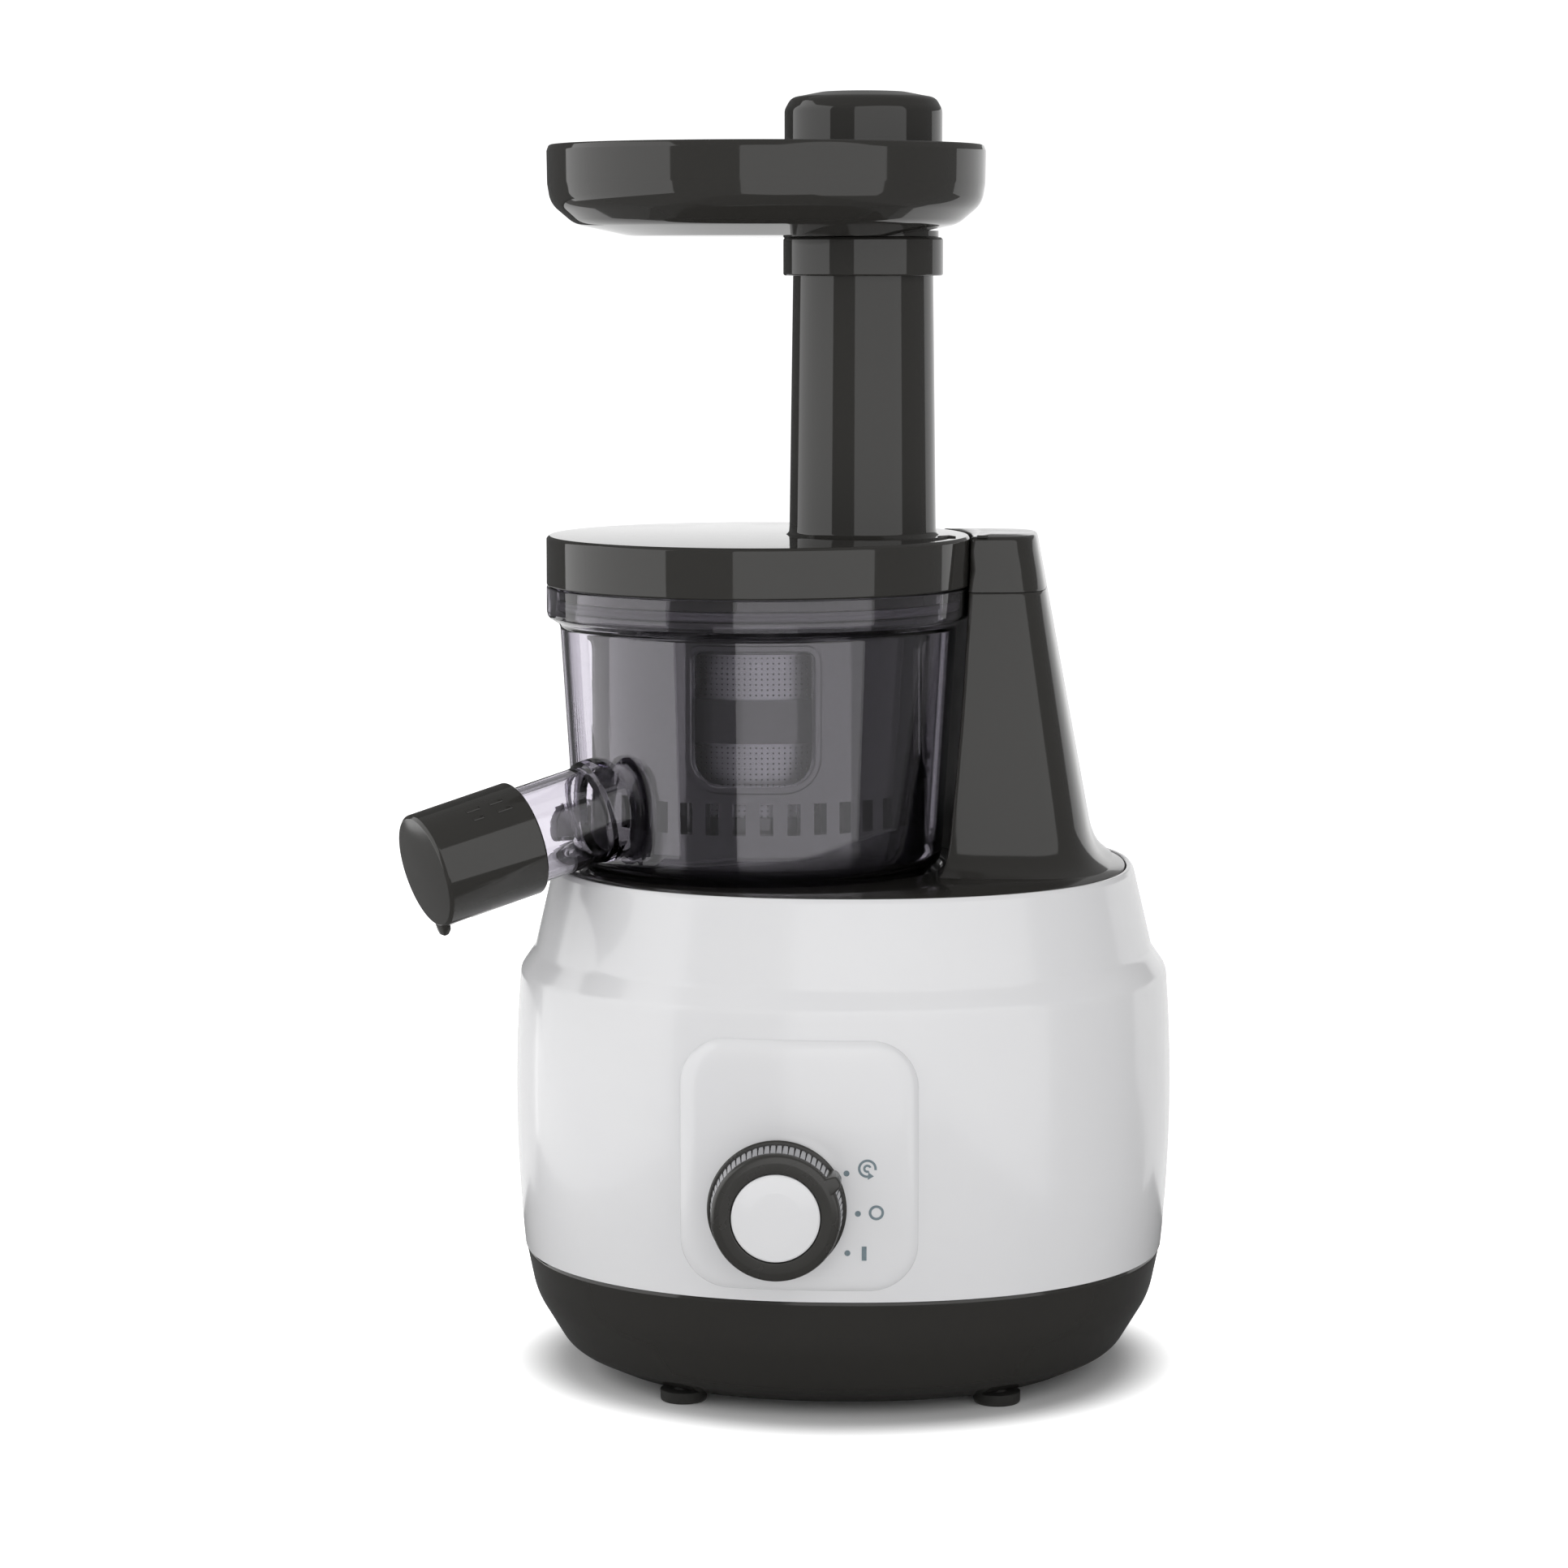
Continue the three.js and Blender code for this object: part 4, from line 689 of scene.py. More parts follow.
# Lid switch
# A spring pin of pale acetal in the cap that the lid's rim pushes in, and the sealed switch behind it.
pale_acetal = moulded("pale_acetal", "#c9c7c2", "#bdbbb5", 0.36, 0.05, 0.5, 0.006)
paint(nodes["interlock_pin"], pale_acetal)
paint(nodes["interlock_switch"], black_nylon)


# Control panel
# A raised rounded square of the same gloss white, clipped on the front of the housing and following
# its curve, with a soft rolled edge, a low round plinth behind the dial and a hole for its shaft.
panel_low, panel_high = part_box("control_panel")
panel_x = ((panel_low.x + panel_high.x) / 2 - body_centre.x) / mm
panel_z = (panel_low.z + panel_high.z) / 2 / mm
panel_half = ((panel_high.x - panel_low.x) / 2 / mm, (panel_high.z - panel_low.z) / 2 / mm)
panel_corner = 15
panel_proud = 2.4
dial_low, dial_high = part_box("knob_disc")
dial_x = ((dial_low.x + dial_high.x) / 2 - body_centre.x) / mm
dial_z = (dial_low.z + dial_high.z) / 2 / mm
dial_seat = (body_centre.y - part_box("knob_ring")[1].y) / mm
panel_sides = 200

def front_point(x, z, out):
    """A point on the housing's front at x and z, lifted off it by out, all in mm from the body's axis."""
    half_width = belly(z) + out
    half_depth = belly(z) * depth_share + out
    y = -half_depth * (1 - min(abs(x / half_width), 1) ** plan_power) ** (1 / plan_power)
    return (body_centre.x + x * mm, body_centre.y + y * mm, z * mm)


def square_point(side, inset):
    """A point of the panel's outline, inset by so much, as x and z."""
    wide, tall = panel_half[0] - inset, panel_half[1] - inset
    corner = max(panel_corner - inset, 3.0)
    straight = [2 * (wide - corner), 2 * (tall - corner)] * 2
    bend = math.pi / 2 * corner
    run = (side / panel_sides) * (sum(straight) + 4 * bend)
    centres = [(wide - corner, tall - corner), (corner - wide, tall - corner), (corner - wide, corner - tall),
               (wide - corner, corner - tall)]
    for quarter in range(4):
        cx, cz = centres[quarter]
        if run <= bend:
            turn = quarter * math.pi / 2 + run / corner
            return panel_x + cx + corner * math.cos(turn), panel_z + cz + corner * math.sin(turn)
        run -= bend
        edge = straight[quarter]
        if run <= edge:
            turn = (quarter + 1) * math.pi / 2
            x = panel_x + cx + corner * math.cos(turn) - run * math.sin(turn)
            z = panel_z + cz + corner * math.sin(turn) + run * math.cos(turn)
            return x, z
        run -= edge
    return square_point(0, inset)


def panel_ring(inset, radius, share, out):
    """A ring that lies by share of the way from the panel's inset outline to a circle round the dial."""
    ring = []
    for side in range(panel_sides):
        x, z = square_point(side, inset)
        turn = math.atan2(z - panel_z, x - panel_x)
        to_x, to_z = dial_x + radius * math.cos(turn), dial_z + radius * math.sin(turn)
        ring.append(front_point(x + (to_x - x) * share, z + (to_z - z) * share, out))
    return ring


hole_radius = 4.6
plinth_radius = 20.0
plinth_front = dial_seat - 0.3
edge_width = 5.2
inward = 9
rolled_edge = [(0, -0.5), (0, 0.15), (0.25, 0.55), (0.8, 1.1), (1.6, 1.6), (2.6, 2.0), (3.8, 2.28),
               (edge_width, panel_proud)]
panel_rings = [panel_ring(inset, 0, 0, out) for inset, out in rolled_edge]
panel_rings += [panel_ring(edge_width, plinth_radius + 0.5, step / inward, panel_proud)
                for step in range(1, inward + 1)]
panel_rings.append(panel_ring(edge_width, plinth_radius + 0.15, 1, panel_proud + 0.12))
edge_points = [square_point(side, edge_width) for side in range(panel_sides)]
round_turns = [math.atan2(z - panel_z, x - panel_x) for x, z in edge_points]
for radius, back in ((plinth_radius, 0.35), (plinth_radius - 0.35, 0), (hole_radius, 0)):
    panel_rings.append([(body_centre.x + (dial_x + radius * math.cos(t)) * mm,
                         body_centre.y - (plinth_front - back) * mm,
                         (dial_z + radius * math.sin(t)) * mm) for t in round_turns])
panel_rings += [panel_ring(0, hole_radius, step / inward, -0.5) for step in range(inward, -1, -1)]
control_panel = mesh_piece("control_panel_plate", *ring_skin(panel_rings, loop=True), sharp=50)
paint(control_panel, gloss_white_abs)
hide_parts("control_panel")
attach(control_panel, "base")


# Dial marks
# Pad-printed blue-grey marks beside the dial: three dots, an O, an I and a turning arrow, each a thin
# film of ink on the panel.
def ink_film(name, colour):
    """Pad-printing ink: flat, slightly patchy and a little raised."""
    material, tree, place = new_material(name)
    patch = noise(tree, place, 0.8, 3.0)
    shader = add(tree, "ShaderNodeBsdfPrincipled", inputs={
        "Base Color": blend(tree, patch, colour, "#7d8b91"), "Roughness": 0.5,
        "Normal": bumps(tree, patch, 0.01),
    })
    return finish_material(material, tree, shader)


blue_grey_ink = ink_film("blue_grey_ink", "#62727a")


ink_under, ink_over = panel_proud - 0.1, panel_proud + 0.08
dot_radius = 0.92


def film(outline, inside=None):
    """A thin film over the panel: a filled outline, or a ring between two outlines."""
    levels = [(outline, ink_under), (outline, ink_over)]
    if inside:
        levels += [(inside, ink_over), (inside, ink_under)]
    rings = [[front_point(x, z, out) for x, z in points] for points, out in levels]
    return ring_skin(rings, loop=bool(inside), caps=not inside)


def arc_points(x, z, radius, start, end, steps):
    turns = [math.radians(start + (end - start) * s / steps) for s in range(steps + 1)]
    return [(x + radius * math.cos(t), z + radius * math.sin(t)) for t in turns]


def circle(x, z, radius):
    return arc_points(x, z, radius, 0, 360, 40)[:-1]


def ribbon(x, z, radius, width, start, end, steps=36):
    """A curved stroke round x and z, between two angles in degrees."""
    outer = arc_points(x, z, radius + width / 2, start, end, steps)
    return outer + arc_points(x, z, radius - width / 2, start, end, steps)[::-1]


marks = [film(circle(x, z, dot_radius)) for x, z in ((2.5, 83.2), (6.0, 70.5), (2.8, 58.0))]
marks += [film(circle(11.7, 70.8, 2.35), circle(11.7, 70.8, 1.55)),
          film([(7.2, 55.6), (8.7, 55.6), (8.7, 60.1), (7.2, 60.1)]),
          film(ribbon(8.9, 84.7, 2.5, 0.75, -10, 285)), film(ribbon(8.9, 84.7, 0.95, 0.7, 20, 300)),
          film([(9.0, 81.2), (10.9, 82.3), (9.2, 83.6)])]
mark_verts, mark_faces = [], []
for verts, faces in marks:
    mark_faces += [tuple(i + len(mark_verts) for i in face) for face in faces]
    mark_verts += verts
dial_marks = mesh_piece("dial_marks", mark_verts, mark_faces)
paint(dial_marks, blue_grey_ink)
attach(dial_marks, "base")


# Dial ring
# The speed dial: a charcoal ABS ring with a blunt pointer and a thin flange behind, and between them a
# grip of fine chrome-plated ribs. It presses on the switch shaft.
facing_front = Matrix.Rotation(math.pi / 2, 3, "X")
dial_axis = Vector((body_centre.x + dial_x * mm, body_centre.y - dial_seat * mm, dial_z * mm))
dial_black = moulded("satin_charcoal_dial", "#333230", "#302f2d", 0.26, 0.04, 0.5, 0.004)
dial_bright = plain_metal("satin_chrome_plate", "#b6b6b8", 0.2, 0.5)
ring_profile = rounded([
    (0.01, 9, 0), (3.3, 9, 0.1), (3.3, 0.2, 0.2), (21.0, 0.2, 0.2), (21.5, 0.6, 0.2), (21.5, 1.0, 0.2),
    (21.0, 1.4, 0.2), (19.6, 1.5, 0.3), (19.0, 10.6, 0.3), (19.7, 10.9, 0.2), (19.9, 12.6, 0.6),
    (19.2, 14.1, 1.4),
    (17.2, 14.4, 0.8), (14.1, 14.4, 0.25), (13.9, 14.1, 0.2), (13.9, 11.6, 0.2), (0.01, 11.6, 0),
], 5)
dial_ring = turned_piece("dial_ring", ring_profile, dial_axis, 160, facing_front)

grip_count = 66
grip = rounded([(-0.78, -0.6, 0), (-0.78, 0.5, 0.25), (0, 0.55, 2), (0.78, 0.5, 0.25), (0.78, -0.6, 0)], 3)
grip_rings = []
for height, radius in ((1.6, 19.75), (1.8, 19.95), (10.3, 19.2), (10.7, 18.9)):
    grip_rings.append([((radius + rise) * mm, wide * mm, height * mm) for wide, rise in grip])
grip_rib = mesh_piece("dial_grip", *ring_skin(grip_rings, caps=True))


def new_group(name, inputs, output):
    """A Geometry Nodes tree with its inputs: the tree, their identifiers and their sockets inside."""
    tree = bpy.data.node_groups.new(name, "GeometryNodeTree")
    sockets = {}
    for label, kind in inputs.items():
        sockets[label] = tree.interface.new_socket(name=label, in_out="INPUT", socket_type=kind).identifier
    tree.interface.new_socket(name=output, in_out="OUTPUT", socket_type="NodeSocketGeometry")
    return tree, sockets, add(tree, "NodeGroupInput").outputs


def run_group(piece, tree, sockets, values, sharp):
    """Runs a Geometry Nodes tree on a piece with the given values and leaves one plain mesh."""
    step = piece.modifiers.new("nodes", "NODES")
    step.node_group = tree
    for label, value in values.items():
        step[sockets[label]] = value
    settle(piece, step)
    smooth_to(piece.data, sharp)


def ring_repeat(name, material_used):
    """A Geometry Nodes tree that sets copies of a piece round an axis and moves the ring to its place."""
    tree, sockets, given = new_group(name, {
        "Piece": "NodeSocketGeometry", "Count": "NodeSocketInt", "First turn": "NodeSocketFloat",
        "Tilt": "NodeSocketVector", "Place": "NodeSocketVector",
    }, "Ring")
    points = add(tree, "GeometryNodeMeshLine", {"mode": "OFFSET"},
                 {"Count": given["Count"], "Offset": (0, 0, 0)})
    index = add(tree, "GeometryNodeInputIndex").outputs["Index"]
    share = maths(tree, "DIVIDE", index, given["Count"])
    swept = maths(tree, "MULTIPLY_ADD", share, 2 * math.pi, given["First turn"])
    turn = add(tree, "ShaderNodeCombineXYZ", inputs={"Z": swept})
    copies = add(tree, "GeometryNodeInstanceOnPoints",
                 inputs={"Points": points.outputs["Mesh"], "Instance": given["Piece"]})
    tree.links.new(turn.outputs["Vector"], copies.inputs["Rotation"])
    real = add(tree, "GeometryNodeRealizeInstances", inputs={"Geometry": copies.outputs["Instances"]})
    moved = add(tree, "GeometryNodeTransform",
                inputs={"Geometry": real.outputs["Geometry"], "Translation": given["Place"]})
    tree.links.new(given["Tilt"], moved.inputs["Rotation"])
    finish = add(tree, "GeometryNodeSetMaterial", inputs={"Geometry": moved.outputs["Geometry"]})
    finish.inputs["Material"].default_value = material_used
    add(tree, "NodeGroupOutput", inputs={"Ring": finish.outputs["Geometry"]})
    return tree, sockets


run_group(grip_rib, *ring_repeat("dial_grip_ring", dial_bright), {
    "Count": grip_count, "First turn": 0.0, "Tilt": facing_front.to_euler(), "Place": dial_axis,
}, 35)

def soft_block(half, low, high, soft, steps=4, soft_low=None):
    """A block's outline with round corners of radius soft, as [across, up] points."""
    points = []
    for side, end, quarter in ((1, 1, 0), (-1, 1, 1), (-1, -1, 2), (1, -1, 3)):
        radius = soft if end > 0 or soft_low is None else soft_low
        for step in range(steps + 1):
            t = (quarter + step / steps) * math.pi / 2
            points.append((side * (half - radius) + radius * math.cos(t),
                           (high if end > 0 else low) - end * radius + radius * math.sin(t)))
    return points


pointer_lean = facing_front @ Matrix.Rotation(math.radians(31), 3, "Z")
pointer_rings = []
for reach, half, low, high in ((16.2, 3.4, 10.8, 14.25), (17.6, 3.2, 8.0, 14.3), (18.6, 2.9, 4.0, 14.2),
                               (20.0, 2.5, 3.2, 14.0), (21.4, 2.1, 3.0, 13.7), (22.2, 1.7, 3.2, 13.4),
                               (22.6, 1.1, 3.8, 12.8)):
    pointer_rings.append([tuple(dial_axis + pointer_lean @ (Vector((reach, across, up)) * mm))
                          for across, up in soft_block(half, low, high, min(0.7, half * 0.6))])
dial_pointer = mesh_piece("dial_pointer", *ring_skin(pointer_rings, caps=True), sharp=50)
for piece, surface, slot in ((dial_ring, dial_black, "charcoal"), (grip_rib, dial_bright, "steel"),
                             (dial_pointer, dial_black, "charcoal")):
    paint(piece, surface)
    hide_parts("knob_ring")
    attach(piece, "knob_body")


# Dial cap
# The domed gloss white disc in the middle of the dial, snapped into its ring.
disc_profile = rounded([
    (0.01, 12.0, 0), (13.3, 12.0, 0.2), (13.6, 12.4, 0.2), (13.6, 14.2, 0.5), (13.0, 14.65, 0.6),
    (8.0, 15.05, 4), (0.01, 15.2, 0)], 6)
dial_cap = turned_piece("dial_cap", disc_profile, dial_axis, 128, facing_front)
paint(dial_cap, gloss_white_abs)
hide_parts("knob_disc")
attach(dial_cap, "knob_body")


# Juice bowl
# The clear bowl, injection moulded in smoke-tinted copolyester: it hangs the strainer from its rim
# and pours through a sloping spout at the left. A pulp outlet opens at the back.
def tinted_clear(name, tint, depth_tint, density, rough):
    """Clear tinted plastic: faint flow lines, a trace of haze and a colour that deepens inside."""
    material, tree, place = new_material(name)
    haze = noise(tree, place, 25, 4.0)
    shader = add(tree, "ShaderNodeBsdfPrincipled", inputs={
        "Base Color": linear(tint), "Roughness": spread(tree, haze, rough * 0.4, rough, 0.35, 0.75),
        "IOR": 1.5, "Transmission Weight": 1.0, "Normal": bumps(tree, noise(tree, place, 18, 1.0), 0.02, 0.3),
    })
    finish_material(material, tree, shader)
    smoke = add(tree, "ShaderNodeVolumeAbsorption", inputs={"Color": linear(depth_tint), "Density": density})
    tree.links.new(smoke.outputs["Volume"], tree.nodes["Material Output"].inputs["Volume"])
    return material


smoke_copolyester = tinted_clear("smoke_tinted_copolyester", "#f5f3f7", "#a898c4", 38.0, 0.03)


def rod_piece(name, radius, low, high, centre, sides=96, turn=None):
    return turned_piece(name, [(0.01, low), (radius, low), (radius, high), (0.01, high)], centre, sides, turn)


bowl_outer = rounded([
    (0.01, 161.8, 0), (54.0, 161.8, 5), (59.6, 167.5, 6), (60.25, 174, 4), (64.6, 244.4, 3),
    (68.5, 246.9, 1.5),
    (68.9, 248.4, 1), (68.9, 256.6, 0.5), (66.4, 256.6, 0.3), (0.01, 256.6, 0),
], 7)
bowl_inner = rounded([
    (9.2, 175, 0), (9.2, 164.7, 1.5), (53.0, 164.7, 4), (57.4, 169.0, 5), (58.05, 175, 3), (62.3, 243.8, 2),
    (66.2, 247.2, 0.8), (66.2, 258.0, 0), (9.2, 258.0, 0),
], 7)
bowl = turned_piece("juice_bowl_clear", bowl_outer, bowl_axis, 192)
spout_root = body_centre + Vector((-78, -34, 186.5)) * mm
spout_turn, spout_dip, pulp_turn = 208.9, 14.6, 165


def pointing(turn, dip):
    """A rotation that points +Z outwards: dipped from level by dip and turned by turn, in degrees."""
    return Matrix.Rotation(math.radians(turn), 3, "Z") @ Matrix.Rotation(math.radians(90 + dip), 3, "Y")


spout_lean = pointing(spout_turn, spout_dip)
pulp_lean = pointing(pulp_turn, 0)
pulp_root = bowl_axis + Vector((0, 0, 176.5)) * mm
spout_tube = turned_piece("spout_tube", rounded([
    (0.01, -8, 0), (17.0, -8, 0), (17.0, 2.0, 0.8), (16.1, 3.2, 0.8), (15.8, 5, 0.5), (15.8, 49.4, 0.3),
    (15.3, 50, 0.3), (0.01, 50, 0)], 4), spout_root, 96, spout_lean)
pulp_tube = turned_piece("pulp_tube", rounded([
    (0.01, 52, 0), (8.4, 52, 0), (8.4, 66.2, 0.3), (8.0, 66.5, 0.2),
    (0.01, 66.5, 0)], 3), pulp_root, 64, pulp_lean)
carve(bowl, [spout_tube, pulp_tube], "UNION")
carve(bowl, [
    turned_piece("bowl_space", bowl_inner, bowl_axis, 192),
    rod_piece("spout_bore", 13.8, -22, 60, spout_root, 96, spout_lean),
    rod_piece("pulp_bore", 6.6, 46, 70, pulp_root, 64, pulp_lean),
    rod_piece("hub_bore", 5.7, 160, 176, bowl_axis, 48),
])
hub = turned_piece("bowl_hub", [(5.7, 164.0), (9.2, 164.0), (9.2, 174), (5.7, 174)], bowl_axis, 96)
carve(bowl, [hub], "UNION")
paint(bowl, smoke_copolyester, 30)
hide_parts("juice_bowl")
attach(bowl, "bowl_body")


# Pulp plug
# A grey silicone stopper that shuts the pulp outlet at the back of the bowl.
def soft_silicone(name, colour):
    """Moulded silicone: satin, slightly dusty, with a little light going in."""
    material, tree, place = new_material(name)
    shader = add(tree, "ShaderNodeBsdfPrincipled", inputs={
        "Base Color": linear(colour), "Roughness": spread(tree, noise(tree, place, 4, 5.0), 0.42, 0.62),
        "Subsurface Weight": 0.1, "Subsurface Radius": (0.002, 0.0018, 0.0018),
        "Normal": bumps(tree, noise(tree, place, 0.5, 2.0), 0.02, 0.5),
    })
    return finish_material(material, tree, shader)


grey_silicone = soft_silicone("grey_silicone", "#57555a")
plug_profile = rounded([
    (0.01, 58.2, 0), (5.9, 58.2, 0.5), (6.2, 60.5, 0.4), (6.0, 62, 0.3), (6.25, 63.5, 0.3), (6.25, 66.9, 0.1),
    (8.2, 66.9, 0.3), (8.3, 68.6, 0.7), (7.2, 69.4, 0.5), (0.01, 69.5, 0)], 4)
pulp_plug = turned_piece("pulp_plug_stopper", plug_profile, pulp_root, 64, pulp_lean)
paint(pulp_plug, grey_silicone)
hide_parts("pulp_plug")
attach(pulp_plug, "plug_body")


# Spout cap
# A charcoal sleeve that turns on the spout: its mouth points down to pour and up to shut, with a lug
# for the thumb and small raised ticks that show where the mouth is.
gloss_charcoal = moulded("gloss_charcoal_abs", "#302f2d", "#2d2c2a", 0.08, 0.02, 0.9, 0.0015)
sleeve_profile = rounded([
    (0.01, 60.1, 0), (16.2, 60.1, 0.6), (16.2, 27.6, 0.3), (18.0, 27.6, 0.3), (18.5, 28.2, 0.4),
    (18.5, 61.5, 0.8),
    (17.6, 62.4, 0.5), (0.01, 62.5, 0)], 5)
sleeve = turned_piece("spout_cap_sleeve", sleeve_profile, spout_root, 144, spout_lean)


def on_spout(points, reach):
    """Points across and along the spout, in mm, at a reach from its axis, as places in metres."""
    return [tuple(spout_root + spout_lean @ (Vector((reach, across, along)) * mm))
            for across, along in points]


lug_rings = []
for reach, half, near, far in ((15.5, 3.6, 57.5, 62.2), (18.0, 3.4, 58.2, 62.2), (20.0, 2.9, 59.4, 62.1),
                               (21.2, 2.2, 60.2, 61.9), (21.6, 1.3, 60.7, 61.5)):
    lug_rings.append(on_spout(soft_block(half, near, far, min(half * 0.55, (far - near) * 0.3)), reach))
carve(sleeve, [mesh_piece("cap_lug", *ring_skin(lug_rings, caps=True))], "UNION")
mouth = [on_spout(soft_block(7.0, 51.7, 59.5, 2.5, 5), reach) for reach in (8, 24)]
carve(sleeve, [mesh_piece("cap_mouth", *ring_skin(mouth, caps=True))])
tick_pieces = []
for turn_deg, start, end in ((150, 42.5, 47.5), (150, 34.5, 39.5), (138, 43.0, 47.0), (138, 33.0, 38.5)):
    outward = Matrix.Rotation(math.radians(turn_deg), 3, "Z")
    rings = []
    for lift, half, ease in ((18.0, 0.75, 0), (18.62, 0.7, 0.1), (18.8, 0.45, 0.45)):
        corners = ((half, end - ease), (-half, end - ease), (-half, start + ease), (half, start + ease))
        rings.append([tuple(spout_root + spout_lean @ outward @ (Vector((lift, across, along)) * mm))
                      for across, along in corners])
    tick_pieces.append(mesh_piece("cap_tick", *ring_skin(rings, caps=True)))
carve(sleeve, tick_pieces, "UNION")
paint(sleeve, gloss_charcoal, 30)
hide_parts("spout_cap")
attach(sleeve, "spout_cap_body")


# Strainer
# A smoky-grey moulded cup with eight windows that hangs by its rim in the bowl; a perforated steel
# sleeve is moulded in behind the windows.
def smoky_plastic(name, colour, rough, ior):
    """Smoky plastic so deep in colour that it reads as solid: gloss with a faint haze."""
    material, tree, place = new_material(name)
    shader = add(tree, "ShaderNodeBsdfPrincipled", inputs={
        "Base Color": linear(colour), "IOR": ior,
        "Roughness": spread(tree, noise(tree, place, 20, 3.0), rough * 0.7, rough * 1.3),
        "Normal": bumps(tree, noise(tree, place, 0.9, 2.0), 0.0012, 0.5),
    })
    return finish_material(material, tree, shader)


strainer_grey = smoky_plastic("smoky_grey_strainer", "#2e2c30", 0.15, 1.6)
strainer_profile = rounded([
    (14.6, 176.5, 0), (45.2, 176.5, 0.8), (45.8, 177.4, 0.8), (45.8, 246.9, 1.0), (65.2, 247.5, 0.4),
    (65.9, 248.0, 0.4), (65.9, 249.2, 0.3), (65.5, 249.5, 0.3), (44.6, 249.5, 0.8), (43.6, 248.4, 0.8),
    (43.6, 180.0, 0.8), (42.6, 179.0, 0.6), (14.6, 179.0, 0)], 5)
strainer = turned_piece("strainer_cup", strainer_profile, bowl_axis, 160)


def window_cutter(inner, outer, half, low, high, turn, corner=3.5, corner_low=None):
    """A rounded block that cuts a window through a round wall, facing out at the given turn."""
    points = soft_block(half, low, high, corner, 6, corner_low)
    rings = [[bowl_point(reach, turn, up, across) for across, up in points] for reach in (inner, outer)]
    return mesh_piece("window_cutter", *ring_skin(rings, caps=True))


quarter_turns = [k * math.pi / 2 for k in range(4)]
carve(strainer, [window_cutter(30, 50, 20, low, high, turn)
                 for turn in quarter_turns for low, high in ((186, 209.7), (223.6, 238))])
paint(strainer, strainer_grey, 30)
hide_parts("strainer_frame")
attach(strainer, "bowl_body")


